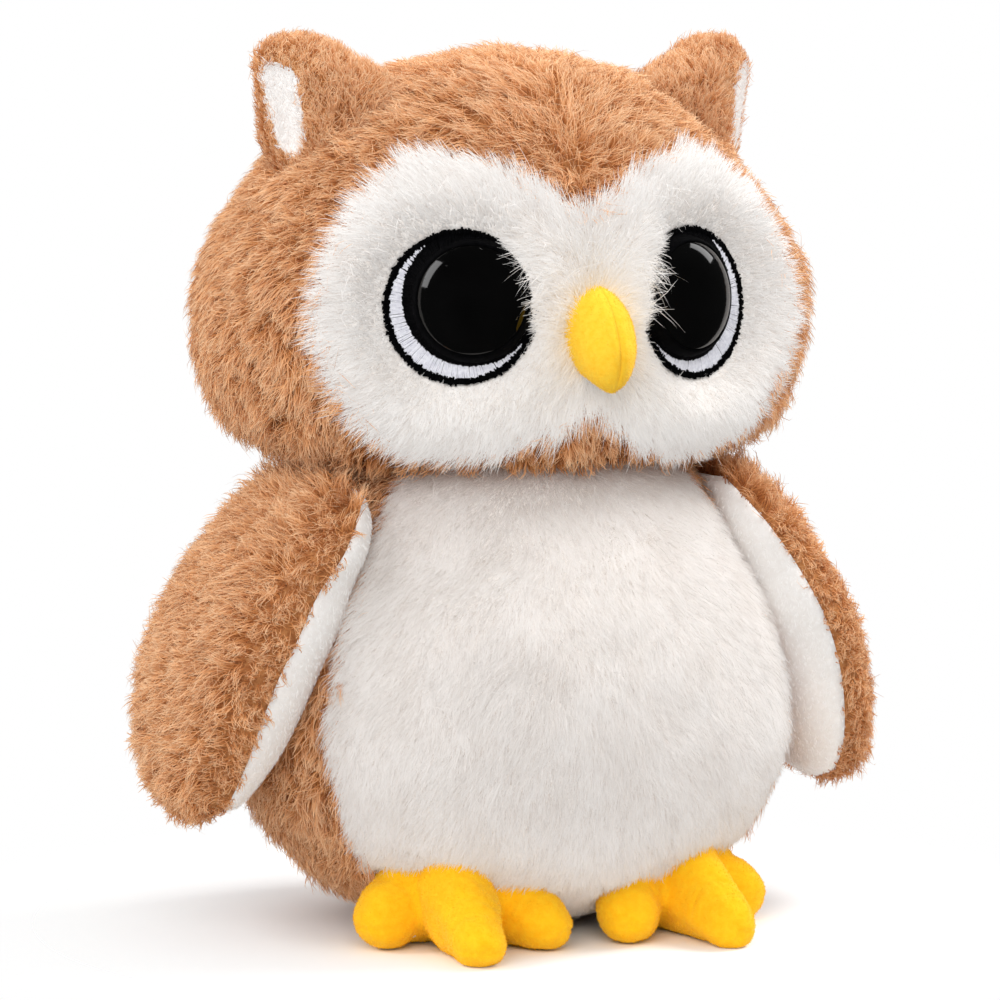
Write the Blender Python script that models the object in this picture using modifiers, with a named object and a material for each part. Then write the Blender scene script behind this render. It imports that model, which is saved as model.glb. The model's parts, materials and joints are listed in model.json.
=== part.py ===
"""Plush owl, standing, facing -Y, +Z up, in metres.

Sewn fabric panels over fillings: a wide round head on a pear-shaped body, two ears, two plastic safety
eyes on embroidered patches, a stuffed beak, two feet of three toes, and two wings that hang from seams
on the shoulders and can be lifted. Every panel is a shell of its own, 0.3 mm clear of its neighbours.
"""

import math

import bmesh
import bpy
from mathutils import Matrix, Vector

# ---------------------------------------------------------------- driving dimensions, metres
Y_SHIFT = 0.0130          # moves the model so that the middle of its box stands over the origin
GAP = 0.0003              # between touching pieces
PILE_CLOTH = 0.0025       # thickness of the pile fabric's dense ground
VELOUR = 0.0018           # thickness of the feet's and wings' short fabric
BEAK_CLOTH = 0.0012

BODY_FORWARD = 0.014      # the belly bulges forward of the head's axis
SEGS = 24                 # round segments of head and body

# z, half width, front depth, back depth, exponent of the section
HEAD = [
    (0.1497, 0.0400, 0.0360, 0.0370, 2.00),
    (0.1510, 0.0580, 0.0490, 0.0495, 2.00),
    (0.1550, 0.0725, 0.0590, 0.0575, 2.05),
    (0.1640, 0.0840, 0.0668, 0.0653, 2.10),
    (0.1750, 0.0897, 0.0704, 0.0684, 2.10),
    (0.1890, 0.0925, 0.0720, 0.0700, 2.15),
    (0.2040, 0.0912, 0.0715, 0.0700, 2.15),
    (0.2180, 0.0852, 0.0686, 0.0671, 2.10),
    (0.2310, 0.0766, 0.0630, 0.0620, 2.05),
    (0.2440, 0.0656, 0.0550, 0.0549, 2.00),
    (0.2550, 0.0524, 0.0452, 0.0452, 2.00),
    (0.2630, 0.0382, 0.0338, 0.0338, 2.00),
    (0.2690, 0.0130, 0.0120, 0.0120, 2.00),
]
F = BODY_FORWARD
BODY = [
    (0.0000, 0.0290, 0.0150 + F, 0.0310 - F, 2.00),
    (0.0015, 0.0350, 0.0210 + F, 0.0370 - F, 2.00),
    (0.0080, 0.0440, 0.0320 + F, 0.0450 - F, 2.00),
    (0.0200, 0.0590, 0.0490 + F, 0.0570 - F, 2.05),
    (0.0380, 0.0752, 0.0655 + F, 0.0685 - F, 2.10),
    (0.0600, 0.0844, 0.0715 + F, 0.0730 - F, 2.15),
    (0.0820, 0.0834, 0.0709 + F, 0.0709 - F, 2.10),
    (0.1020, 0.0770, 0.0662 + F, 0.0658 - F, 2.05),
    (0.1200, 0.0678, 0.0593 + 0.8 * F, 0.0586 - 0.8 * F, 2.00),
    (0.1340, 0.0600, 0.0525 + 0.5 * F, 0.0518 - 0.5 * F, 2.00),
    (0.1405, 0.0555, 0.0483 + 0.3 * F, 0.0472 - 0.3 * F, 2.00),
    (0.1470, 0.0490, 0.0440 + 0.1 * F, 0.0425 - 0.1 * F, 2.00),
    (0.1494, 0.0420, 0.0400, 0.0370, 2.00),
]

# outline of the right half of the white mask, x and z, seen from the front
MASK = [
    (0.0000, 0.2240), (0.0075, 0.2268), (0.0150, 0.2308), (0.0225, 0.2355), (0.0320, 0.2398),
    (0.0400, 0.2414), (0.0490, 0.2388), (0.0585, 0.2310), (0.0682, 0.2205), (0.0745, 0.2095),
    (0.0768, 0.1955), (0.0745, 0.1810), (0.0692, 0.1700), (0.0600, 0.1605), (0.0480, 0.1555),
    (0.0320, 0.1548), (0.0210, 0.1565), (0.0095, 0.1605), (0.0000, 0.1650),
]
CHIN_HALF_WIDTH = 0.030
CHIN_TOP = 0.168
BELLY_HALF_ANGLE = math.radians(55.0)

EYE_CENTRE = (0.0395, -0.0625, 0.1985)
EYE_YAW, EYE_PITCH = math.radians(24), math.radians(4)
PATCH_R, PATCH_T = 0.0239, 0.0012
DOME_R, DOME_H = 0.0180, 0.0085
DOME_SHIFT = (-0.0036, 0.0020)       # towards the beak, and up
SHANK_R, SHANK_L = 0.0030, 0.0150
WASHER_R, WASHER_T = 0.0080, 0.0012

# beak: z, centre y, half width, half depth
BEAK = [
    (0.1720, -0.0860, 0.0020, 0.0020), (0.1745, -0.0850, 0.0050, 0.0065),
    (0.1790, -0.0820, 0.0082, 0.0125), (0.1850, -0.0800, 0.0102, 0.0158),
    (0.1910, -0.0790, 0.0106, 0.0152), (0.1965, -0.0770, 0.0095, 0.0140),
    (0.2010, -0.0750, 0.0068, 0.0115), (0.2040, -0.0730, 0.0030, 0.0080),
]
# ear: z, centre x, centre y, half width, half thickness, in an oval turned outward by EAR_TURN
EAR = [
    (0.2280, 0.0520, -0.0090, 0.0215, 0.0130), (0.2440, 0.0560, -0.0095, 0.0222, 0.0128),
    (0.2540, 0.0585, -0.0095, 0.0216, 0.0120), (0.2630, 0.0614, -0.0095, 0.0200, 0.0108),
    (0.2695, 0.0652, -0.0095, 0.0168, 0.0090), (0.2740, 0.0674, -0.0085, 0.0136, 0.0070),
    (0.2780, 0.0690, -0.0080, 0.0075, 0.0040),
]
EAR_TURN = math.radians(16)
EAR_PANEL_AT = (0.0772, -0.0112, 0.2580)   # a point of the white panel's plane
EAR_PANEL_YAW, EAR_PANEL_TIP = math.radians(48), math.radians(4.3)

# wing: z, front edge x and y, back edge x and y, outward bulge, inward bulge, further inward swell near the front
WING = [
    (0.1385, 0.0635, -0.0370, 0.0640, 0.0160, 0.0050, 0.0010, 0.0020),
    (0.1330, 0.0670, -0.0430, 0.0665, 0.0230, 0.0090, 0.0018, 0.0040),
    (0.1240, 0.0730, -0.0490, 0.0735, 0.0290, 0.0130, 0.0035, 0.0070),
    (0.1130, 0.0803, -0.0510, 0.0800, 0.0340, 0.0145, 0.0050, 0.0090),
    (0.1000, 0.0870, -0.0540, 0.0870, 0.0370, 0.0150, 0.0065, 0.0100),
    (0.0860, 0.0935, -0.0520, 0.0930, 0.0370, 0.0150, 0.0070, 0.0100),
    (0.0720, 0.0980, -0.0485, 0.0975, 0.0335, 0.0145, 0.0070, 0.0090),
    (0.0600, 0.1008, -0.0440, 0.1003, 0.0265, 0.0130, 0.0065, 0.0070),
    (0.0500, 0.1028, -0.0375, 0.1025, 0.0160, 0.0110, 0.0055, 0.0040),
    (0.0440, 0.1036, -0.0310, 0.1036, 0.0050, 0.0080, 0.0040, 0.0020),
    (0.0415, 0.1038, -0.0250, 0.1040, -0.0050, 0.0040, 0.0020, 0.0005),
]
WING_STEPS = 9
HINGE = (0.0640, -0.0090, 0.1370)

# toes of the foot at +X: tip x, y, radius; heel end x, y, radius across, radius upright
TOES = [
    (0.0585, -0.0515, 0.0106, 0.0480, -0.0450, 0.0120, 0.0137),
    (0.0415, -0.0865, 0.0086, 0.0385, -0.0590, 0.0124, 0.0150),
    (0.0145, -0.0700, 0.0096, 0.0228, -0.0545, 0.0124, 0.0144),
]
TOE_SINK = 0.0020         # how much of each toe's underside is pressed flat
SOLE_T = 0.0032

# pellet bag: z, half width, front depth, back depth
BAG = [
    (0.0036, 0.0240, 0.0240, 0.0120, 2.0), (0.0080, 0.0320, 0.0330, 0.0190, 2.0),
    (0.0160, 0.0420, 0.0440, 0.0270, 2.0), (0.0240, 0.0430, 0.0490, 0.0290, 2.0),
    (0.0300, 0.0300, 0.0350, 0.0200, 2.0),
]

# ---------------------------------------------------------------- scene
for old in list(bpy.data.objects):
    bpy.data.objects.remove(old, do_unlink=True)

owl = bpy.data.collections.new("plush_owl")
cutters = bpy.data.collections.new("cutters")
bpy.context.scene.collection.children.link(owl)
bpy.context.scene.collection.children.link(cutters)
cutters.hide_render = True


def empty(name, at, parent=None):
    e = bpy.data.objects.new(name, None)
    e.empty_display_size = 0.02
    e.location = at
    owl.objects.link(e)
    e.parent = parent
    return e


root = empty("owl_origin", (0, Y_SHIFT, 0))
shoulder = {s: empty("shoulder_" + n, (s * HINGE[0], HINGE[1], HINGE[2]), root) for s, n in ((1, "left"), (-1, "right"))}


def material(name, rgb, rough, metallic=0.0):
    m = bpy.data.materials.new(name)
    m.use_nodes = True
    p = m.node_tree.nodes["Principled BSDF"]
    p.inputs["Base Color"].default_value = (*rgb, 1)
    p.inputs["Roughness"].default_value = rough
    p.inputs["Metallic"].default_value = metallic
    m.diffuse_color = (*rgb, 1)
    return m


BROWN, WHITE, YELLOW, BLACK, FILL = (0.55, 0.28, 0.13), (0.88, 0.84, 0.80), (0.95, 0.50, 0.02), (0.008, 0.008, 0.009), (0.9, 0.9, 0.88)


def put(name, mesh, rgb=None, rough=0.9, at=(0, 0, 0), rot=None, cutter=False, parent=None):
    ob = bpy.data.objects.new(name, mesh)
    (cutters if cutter else owl).objects.link(ob)
    ob.parent = parent or root
    ob.location = at
    if rot is not None:
        ob.rotation_euler = rot.to_euler()
    if cutter:
        ob.hide_render = True
        ob.display_type = "WIRE"
    else:
        mesh.materials.append(material(name, rgb, rough))
    return ob


def cut(ob, other, operation="DIFFERENCE"):
    m = ob.modifiers.new(operation.lower(), "BOOLEAN")
    m.operation = operation
    m.solver = "EXACT"
    m.object = other
    return ob


# ---------------------------------------------------------------- forms
def section(row, segs=SEGS):
    """Points round one level of a form: a superellipse with its own front and back depth."""
    z, a, front, back, n = row
    pts = []
    for i in range(segs):
        t = 2 * math.pi * (i + 0.5) / segs
        c, s = math.cos(t), math.sin(t)
        x = a * math.copysign(abs(c) ** (2 / n), c)
        y = (front if s < 0 else back) * math.copysign(abs(s) ** (2 / n), s)
        pts.append(Vector((x, y, z)))
    return pts


def oval(z, cx, cy, rx, ry, segs=16, turn=0.0):
    pts = []
    for i in range(segs):
        a = 2 * math.pi * (i + 0.5) / segs
        u, v = rx * math.cos(a), ry * math.sin(a)
        pts.append(Vector((cx + u * math.cos(turn) - v * math.sin(turn), cy + u * math.sin(turn) + v * math.cos(turn), z)))
    return pts


def loft(name, rings):
    """Closed solid through rings of equal count, capped at both ends."""
    bm = bmesh.new()
    rows = [[bm.verts.new(p) for p in ring] for ring in rings]
    for low, high in zip(rows, rows[1:]):
        for i in range(len(low)):
            j = (i + 1) % len(low)
            bm.faces.new((low[i], low[j], high[j], high[i]))
    bm.faces.new(list(reversed(rows[0])))
    bm.faces.new(rows[-1])
    bmesh.ops.recalc_face_normals(bm, faces=bm.faces)
    bmesh.ops.triangulate(bm, faces=[f for f in bm.faces if len(f.verts) == 4])   # the quads aren't quite flat
    mesh = bpy.data.meshes.new(name)
    bm.to_mesh(mesh)
    bm.free()
    mesh.shade_smooth()
    mesh.set_sharp_from_angle(angle=math.radians(40))
    return mesh


def inset(rows, t):
    """The same form a distance t further in (or out, for t < 0), measured across its side."""
    out = []
    for i, row in enumerate(rows):
        low, high = rows[max(i - 1, 0)], rows[min(i + 1, len(rows) - 1)]
        dz, da = high[0] - low[0], high[1] - low[1]
        length = math.hypot(dz, da)
        nr, nz = dz / length, -da / length
        if i == 0:
            nr, nz = nr * 0.7 + 0.2, -1.0
        if i == len(rows) - 1:
            nr, nz = nr * 0.7, 1.0
        out.append((row[0] - t * nz, row[1] - t * nr, row[2] - t * nr, row[3] - t * nr, row[4]))
    return out


def form(name, rows, t=0.0):
    return put(name, loft(name, [section(r) for r in (inset(rows, t) if t else rows)]), cutter=True)


def box(name, low, high, at=(0, 0, 0), rot=None):
    bm = bmesh.new()
    bmesh.ops.create_cube(bm, size=1)
    size = Vector(high) - Vector(low)
    mid = (Vector(high) + Vector(low)) / 2
    bmesh.ops.transform(bm, matrix=Matrix.Translation(mid) @ Matrix.Diagonal((*size, 1)), verts=bm.verts)
    mesh = bpy.data.meshes.new(name)
    bm.to_mesh(mesh)
    bm.free()
    return put(name, mesh, cutter=True, at=at, rot=rot)


def rod(name, radius, low, high, at, rot, offset=(0, 0), segs=24):
    """Cylinder cutter along its own Z, from low to high."""
    bm = bmesh.new()
    bmesh.ops.create_cone(bm, cap_ends=True, segments=segs, radius1=radius, radius2=radius, depth=high - low)
    bmesh.ops.translate(bm, verts=bm.verts, vec=(offset[0], offset[1], (high + low) / 2))
    mesh = bpy.data.meshes.new(name)
    bm.to_mesh(mesh)
    bm.free()
    return put(name, mesh, cutter=True, at=at, rot=rot)


def outline_cutter(name, points, low, high):
    """Prism along Y over an outline given as x, z."""
    bm = bmesh.new()
    face = bm.faces.new([bm.verts.new((x, low, z)) for x, z in points])
    side = bmesh.ops.extrude_face_region(bm, geom=[face])
    bmesh.ops.translate(bm, verts=[g for g in side["geom"] if isinstance(g, bmesh.types.BMVert)], vec=(0, high - low, 0))
    bmesh.ops.recalc_face_normals(bm, faces=bm.faces)
    mesh = bpy.data.meshes.new(name)
    bm.to_mesh(mesh)
    bm.free()
    return put(name, mesh, cutter=True)


def widened(points, by):
    """Closed outline moved outward by a distance."""
    area = sum(a[0] * b[1] - b[0] * a[1] for a, b in zip(points, points[1:] + points[:1]))
    sign = 1 if area > 0 else -1
    out = []
    for i, p in enumerate(points):
        a, b = points[i - 1], points[(i + 1) % len(points)]
        d1 = Vector((p[0] - a[0], p[1] - a[1])).normalized()
        d2 = Vector((b[0] - p[0], b[1] - p[1])).normalized()
        n = Vector((d1.y + d2.y, -d1.x - d2.x)) * sign
        n.normalize()
        out.append((p[0] + n.x * by, p[1] + n.y * by))
    return out


# ---------------------------------------------------------------- shared cutters
head_inner = form("cut_head_inner", HEAD, PILE_CLOTH)
head_clear = form("cut_head_clear", HEAD, -GAP)
body_inner = form("cut_body_inner", BODY, PILE_CLOTH)
body_clear = form("cut_body_clear", BODY, -0.0004)

half = {s: box("cut_half_" + n, (GAP / 2, -0.2, -0.05), (0.2, 0.2, 0.4)) for s, n in ((1, "left"),)}
half[-1] = box("cut_half_right", (-0.2, -0.2, -0.05), (-GAP / 2, 0.2, 0.4))

mask_right = [(GAP / 2, MASK[0][1])] + MASK[1:-1] + [(GAP / 2, MASK[-1][1])]
mask = {1: outline_cutter("cut_mask_left", mask_right, -0.13, -0.012),
        -1: outline_cutter("cut_mask_right", [(-x, z) for x, z in mask_right], -0.13, -0.012)}
mask_whole = MASK + [(-x, z) for x, z in reversed(MASK[1:-1])]
mask_wide = outline_cutter("cut_mask_wide", widened(mask_whole, GAP), -0.14, -0.0117)

chin = box("cut_chin", (-CHIN_HALF_WIDTH, -0.13, 0.13), (CHIN_HALF_WIDTH, -0.016, CHIN_TOP))
chin_wide = box("cut_chin_wide", (-CHIN_HALF_WIDTH - GAP, -0.14, 0.12), (CHIN_HALF_WIDTH + GAP, -0.016 + GAP, CHIN_TOP + GAP))


def eye_frame(s):
    """Where an eye sits, and the rotation that takes +Z to the way it looks; +X stays level, outward."""
    n = Vector((s * math.sin(EYE_YAW) * math.cos(EYE_PITCH), -math.cos(EYE_YAW) * math.cos(EYE_PITCH), math.sin(EYE_PITCH)))
    x = Vector((0, 0, 1)).cross(n).normalized()
    y = n.cross(x)
    return (s * EYE_CENTRE[0], EYE_CENTRE[1], EYE_CENTRE[2]), Matrix((x, y, n)).transposed(), -s * 1.0


eye_pocket, eye_pocket_inner, shank_hole, shank_pit, washer_pit = {}, {}, {}, {}, {}
for s, n in ((1, "left"), (-1, "right")):
    at, rot, _ = eye_frame(s)
    off = (s * DOME_SHIFT[0], DOME_SHIFT[1])
    eye_pocket[s] = rod("cut_eye_pocket_" + n, PATCH_R + GAP, -GAP, 0.03, at, rot, segs=32)
    eye_pocket_inner[s] = rod("cut_eye_inner_" + n, PATCH_R + GAP + PILE_CLOTH, -GAP - PILE_CLOTH, 0.03, at, rot, segs=32)
    shank_hole[s] = rod("cut_shank_hole_" + n, SHANK_R + 0.0003, -0.012, 0.03, at, rot, off, 12)
    shank_pit[s] = rod("cut_shank_pit_" + n, SHANK_R + 0.0003, -SHANK_L - 0.0006, 0.03, at, rot, off, 12)
    washer_pit[s] = rod("cut_washer_pit_" + n, WASHER_R + GAP, -GAP * 3 - PILE_CLOTH - WASHER_T, 0.03, at, rot, off, 16)
    cut(head_inner, eye_pocket_inner[s])

# ---------------------------------------------------------------- head
for s, n in ((1, "left"), (-1, "right")):
    panel = put("head_panel_" + n, loft("head_panel_" + n, [section(r) for r in HEAD]), BROWN)
    cut(panel, head_inner)
    cut(panel, mask_wide)
    cut(panel, chin_wide)
    cut(panel, half[s], "INTERSECT")

    face = put("face_panel_" + n, loft("face_panel_" + n, [section(r) for r in HEAD]), WHITE)
    cut(face, eye_pocket[s])
    cut(face, head_inner)
    cut(face, mask[s], "INTERSECT")
    cut(face, shank_hole[s])

chin_panel = put("chin_panel", loft("chin_panel", [section(r) for r in HEAD]), BROWN)
cut(chin_panel, head_inner)
cut(chin_panel, mask_wide)
cut(chin_panel, chin, "INTERSECT")

head_filling = put("head_filling", loft("head_filling", [section(r) for r in inset(HEAD, PILE_CLOTH + GAP)]), FILL)
for s in (1, -1):
    at, rot, _ = eye_frame(s)
    deeper = rod("cut_filling_eye_" + str(s), PATCH_R + 2 * GAP + PILE_CLOTH, -2 * GAP - PILE_CLOTH, 0.03, at, rot, segs=32)
    cut(head_filling, deeper)
    cut(head_filling, washer_pit[s])
    cut(head_filling, shank_pit[s])

# ears: a folded brown shell with a white panel let into its outer side
for s, n in ((1, "left"), (-1, "right")):
    rings = [oval(z, s * cx, cy, rx, ry, turn=s * EAR_TURN) for z, cx, cy, rx, ry in EAR]
    level = Vector((s * math.sin(EAR_PANEL_YAW), -math.cos(EAR_PANEL_YAW), 0))
    side = Vector((0, 0, 1)).cross(level)
    normal = level * math.cos(EAR_PANEL_TIP) - Vector((0, 0, math.sin(EAR_PANEL_TIP)))
    rot = Matrix((side, normal.cross(side), normal)).transposed()
    at = Vector((s * EAR_PANEL_AT[0], EAR_PANEL_AT[1], EAR_PANEL_AT[2]))
    slab = box("cut_ear_" + n, (-0.05, -0.05, 0), (0.05, 0.05, 0.05), at, rot)
    slab_wide = box("cut_ear_wide_" + n, (-0.06, -0.06, -GAP), (0.06, 0.06, 0.06), at, rot)
    outer = put("ear_outer_" + n, loft("ear_outer_" + n, rings), BROWN)
    cut(outer, head_clear)
    cut(outer, slab_wide)
    inner = put("ear_inner_" + n, loft("ear_inner_" + n, rings), WHITE)
    cut(inner, slab, "INTERSECT")
    cut(inner, head_clear)

# eyes: embroidered patch, domed eye with its shank, and the washer that locks it behind the cloth
for s, n in ((1, "left"), (-1, "right")):
    at, rot, _ = eye_frame(s)
    off = (s * DOME_SHIFT[0], DOME_SHIFT[1])

    bm = bmesh.new()
    bmesh.ops.create_cone(bm, cap_ends=True, segments=32, radius1=PATCH_R, radius2=PATCH_R, depth=PATCH_T)
    bmesh.ops.translate(bm, verts=bm.verts, vec=(0, 0, PATCH_T / 2))
    mesh = bpy.data.meshes.new("eye_patch_" + n)
    bm.to_mesh(mesh)
    bm.free()
    patch = put("eye_patch_" + n, mesh, BLACK, 0.6, at=at, rot=rot)
    cut(patch, shank_hole[s])

    centre = Vector(at) + rot @ Vector((off[0], off[1], 0))
    profile = [(0.0, PATCH_T + GAP + 0.0006 + DOME_H)]
    for k in range(1, 7):
        a = math.pi / 2 * k / 6
        profile.append((DOME_R * math.sin(a), PATCH_T + GAP + 0.0006 + DOME_H * math.cos(a)))
    profile += [(DOME_R, PATCH_T + GAP), (SHANK_R, PATCH_T + GAP), (SHANK_R, -SHANK_L + 0.0006), (SHANK_R - 0.0006, -SHANK_L), (0.0, -SHANK_L)]
    mesh = bpy.data.meshes.new("eye_dome_" + n)
    mesh.from_pydata([(r, 0, z) for r, z in profile], [(i, i + 1) for i in range(len(profile) - 1)], [])
    dome = put("eye_dome_" + n, mesh, BLACK, 0.05, at=centre, rot=rot)
    turn = dome.modifiers.new("turned", "SCREW")
    turn.axis = "Z"
    turn.steps = turn.render_steps = 24
    turn.use_merge_vertices = True
    turn.merge_threshold = 0.00002
    turn.use_smooth_shade = True

    low, high = -GAP * 2 - PILE_CLOTH - WASHER_T, -GAP * 2 - PILE_CLOTH
    ring = [(WASHER_R, high), (WASHER_R, low), (SHANK_R + 0.0002, low), (SHANK_R + 0.0002, high)]
    mesh = bpy.data.meshes.new("eye_washer_" + n)
    mesh.from_pydata([(r, 0, z) for r, z in ring], [(i, (i + 1) % 4) for i in range(4)], [])
    washer = put("eye_washer_" + n, mesh, (0.85, 0.85, 0.82), 0.4, at=centre, rot=rot)
    turn = washer.modifiers.new("turned", "SCREW")
    turn.axis = "Z"
    turn.steps = turn.render_steps = 16
    turn.use_merge_vertices = True
    turn.merge_threshold = 0.00002

# beak: two side panels over a filling
def beak_rings(t):
    rows = [(z, cy, rx - t, ry - t) for z, cy, rx, ry in BEAK]
    if t:
        rows = rows[1:-1]
    return [oval(z, 0, cy, rx, ry) for z, cy, rx, ry in rows]


beak_inner = put("cut_beak_inner", loft("cut_beak_inner", beak_rings(BEAK_CLOTH)), cutter=True)
for s, n in ((1, "left"), (-1, "right")):
    side = put("beak_panel_" + n, loft("beak_panel_" + n, beak_rings(0)), YELLOW)
    cut(side, beak_inner)
    cut(side, head_clear)
    cut(side, half[s], "INTERSECT")
beak_filling = put("beak_filling", loft("beak_filling", beak_rings(BEAK_CLOTH + GAP)), FILL)
cut(beak_filling, form("cut_head_clear_2", HEAD, -0.0008))

# ---------------------------------------------------------------- body
wedge = [(0.0, 0.0), (math.sin(BELLY_HALF_ANGLE) * 0.25, -math.cos(BELLY_HALF_ANGLE) * 0.25), (0, -0.25),
         (-math.sin(BELLY_HALF_ANGLE) * 0.25, -math.cos(BELLY_HALF_ANGLE) * 0.25)]


def standing_prism(name, points, low, high):
    return put(name, loft(name, [[Vector((x, y, z)) for x, y in points] for z in (low, high)]), cutter=True)


belly_cut = standing_prism("cut_belly", wedge, 0.0028, 0.2)
belly_wide = standing_prism("cut_belly_wide", widened(wedge, GAP), -0.01, 0.21)
floor_slab = box("cut_base", (-0.2, -0.2, -0.01), (0.2, 0.2, 0.0025))
floor_slab_wide = box("cut_base_wide", (-0.21, -0.21, -0.02), (0.21, 0.21, 0.0028))

for s, n in ((1, "left"), (-1, "right")):
    back = put("body_back_" + n, loft("body_back_" + n, [section(r) for r in BODY]), BROWN)
    cut(back, body_inner)
    cut(back, belly_wide)
    cut(back, floor_slab_wide)
    cut(back, half[s], "INTERSECT")
belly = put("belly_panel", loft("belly_panel", [section(r) for r in BODY]), WHITE)
cut(belly, body_inner)
cut(belly, belly_cut, "INTERSECT")
base = put("base_panel", loft("base_panel", [section(r) for r in BODY]), BROWN)
cut(base, floor_slab, "INTERSECT")

pellet_bag = put("pellet_bag", loft("pellet_bag", [section(r, 20) for r in BAG]), FILL)
bag_pit = put("cut_bag", loft("cut_bag", [section(r, 20) for r in [(-0.01, *inset(BAG, -0.0004)[0][1:])] + inset(BAG, -0.0004)[1:]]), cutter=True)
body_filling = put("body_filling", loft("body_filling", [section(r) for r in inset(BODY, PILE_CLOTH + GAP)]), FILL)
cut(body_filling, bag_pit)

# ---------------------------------------------------------------- wings
def front_swell(row, a):
    """How much further in the lining stands at an angle from the front edge, where it rests against the belly."""
    return row[7] * math.exp(-(((a - 0.75) / 0.55) ** 2)) * math.sqrt(max(math.sin(a), 0))


def wing_ring(row, s, side, t0, t1=None):
    """One level of a wing piece. side is +1 on the outer face and -1 on the lining; t0 and t1 are how far in
    its two surfaces lie. Without t1 the ring is the whole lens."""
    z, fx, fy, bx, by, out, inn = row[:7]
    front, back = Vector((fx, fy, 0)), Vector((bx, by, 0))
    mid, along = (front + back) / 2, (back - front)
    h = along.length / 2
    along.normalize()
    across = Vector((along.y, -along.x, 0))

    def arc(bulge, t, sgn, turn):
        pts = []
        hh, bb = max(h - t, 0.002), max(bulge - t, 0.0006)
        for k in range(WING_STEPS + 1):
            a = 0.10 + (math.pi - 0.20) * k / WING_STEPS
            if turn:
                a = math.pi - a
            deep = 0.00018 + bb * math.sin(a) ** 0.85
            if sgn < 0:
                deep += front_swell(row, a)
            p = mid - along * hh * math.cos(a) + across * sgn * deep
            pts.append(Vector((s * p.x, p.y, z)))
        return pts

    if t1 is None:
        return arc(out, t0, 1, False) + arc(inn, t0, -1, True)
    bulge = out if side > 0 else inn
    return arc(bulge, t0, side, False) + arc(bulge, t1, side, True)


def wing_rows(end):
    """The levels, with the first and last drawn in by a distance."""
    rows = [list(r) for r in WING]
    rows[0][0] -= end
    rows[-1][0] += end
    return rows


for s, n in ((1, "left"), (-1, "right")):
    hub = shoulder[s]
    back_off = Matrix.Translation((-s * HINGE[0], -HINGE[1], -HINGE[2]))
    for name, side, rgb in (("wing_outer_", 1, BROWN), ("wing_lining_", -1, WHITE)):
        rings = []
        for r in wing_rows(0):
            bulge = r[5] if side > 0 else r[6]
            thick = min(VELOUR, bulge * 0.55)
            rings.append(wing_ring(r, s, side, 0.0, thick))
        mesh = loft(name + n, rings)
        mesh.transform(back_off)
        put(name + n, mesh, rgb, parent=hub)
    rings = []
    for r in wing_rows(0.0005)[1:-1]:
        z, fx, fy, bx, by, out, inn = r[:7]
        front, back = Vector((fx, fy, 0)), Vector((bx, by, 0))
        mid, along = (front + back) / 2, back - front
        h = along.length / 2 - VELOUR - 0.0025
        along.normalize()
        across = Vector((along.y, -along.x, 0))
        ring = []
        for k in range(20):
            a = 2 * math.pi * (k + 0.5) / 20
            bulge = (out if math.sin(a) > 0 else inn) - min(VELOUR, (out if math.sin(a) > 0 else inn) * 0.55) - 0.0006
            p = mid + along * h * math.cos(a) + across * max(bulge, 0.0004) * math.sin(a)
            if math.sin(a) < 0:
                p -= across * front_swell(r, a - math.pi) * 0.8
            ring.append(Vector((s * p.x, p.y, z)))
        rings.append(ring)
    mesh = loft("wing_filling_" + n, rings)
    mesh.transform(back_off)
    put("wing_filling_" + n, mesh, FILL, parent=hub)


# ---------------------------------------------------------------- feet
def toe(name, s, k, t):
    """One toe: the hull of a ball at the tip and a bigger, upright egg under the belly."""
    tx, ty, tr, hx, hy, across, upright = TOES[k]
    bm = bmesh.new()
    for x, y, r, high in ((tx, ty, tr, tr), (hx, hy, across, upright)):
        at = Matrix.Translation((s * x, y, high - TOE_SINK)) @ Matrix.Diagonal((1, 1, (high - t) / (r - t), 1))
        bmesh.ops.create_uvsphere(bm, u_segments=11, v_segments=7, radius=r - t, matrix=at)
    bmesh.ops.delete(bm, geom=bm.edges[:], context="EDGES_FACES")
    hull = bmesh.ops.convex_hull(bm, input=bm.verts[:])
    inside = {g for g in hull["geom_interior"] + hull["geom_unused"] if isinstance(g, bmesh.types.BMVert)}
    bmesh.ops.delete(bm, geom=list(inside), context="VERTS")
    bmesh.ops.recalc_face_normals(bm, faces=bm.faces)
    mesh = bpy.data.meshes.new(name)
    bm.to_mesh(mesh)
    bm.free()
    mesh.shade_smooth()
    return mesh


def foot_form(name, s, t, **how):
    ob = put(name, toe(name, s, 1, t), **how)
    for k in (0, 2):
        cut(ob, put("%s_toe_%d" % (name if name.startswith("cut") else "cut_" + name, k), toe(name, s, k, t), cutter=True), "UNION")
    return ob


below = box("cut_below_floor", (-0.2, -0.2, -0.1), (0.2, 0.2, 0.0))
sole_slab = box("cut_sole", (-0.2, -0.2, 0.0), (0.2, 0.2, SOLE_T))
above_sole = box("cut_above_sole", (-0.21, -0.21, -0.1), (0.21, 0.21, SOLE_T + GAP))
body_clear_2 = form("cut_body_clear_2", BODY, -0.0008)
for s, n in ((1, "left"), (-1, "right")):
    foot_inner = foot_form("cut_foot_inner_" + n, s, VELOUR, cutter=True)
    upper = foot_form("foot_upper_" + n, s, 0.0, rgb=YELLOW)
    cut(upper, foot_inner)
    cut(upper, above_sole)
    cut(upper, body_clear)
    sole = foot_form("foot_sole_" + n, s, 0.0, rgb=YELLOW)
    cut(sole, sole_slab, "INTERSECT")
    cut(sole, body_clear)
    filling = foot_form("foot_filling_" + n, s, VELOUR + GAP, rgb=FILL)
    cut(filling, above_sole)
    cut(filling, body_clear_2)
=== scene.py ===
import json
import math

import bpy
import numpy as np
from mathutils import Matrix, Vector

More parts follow.
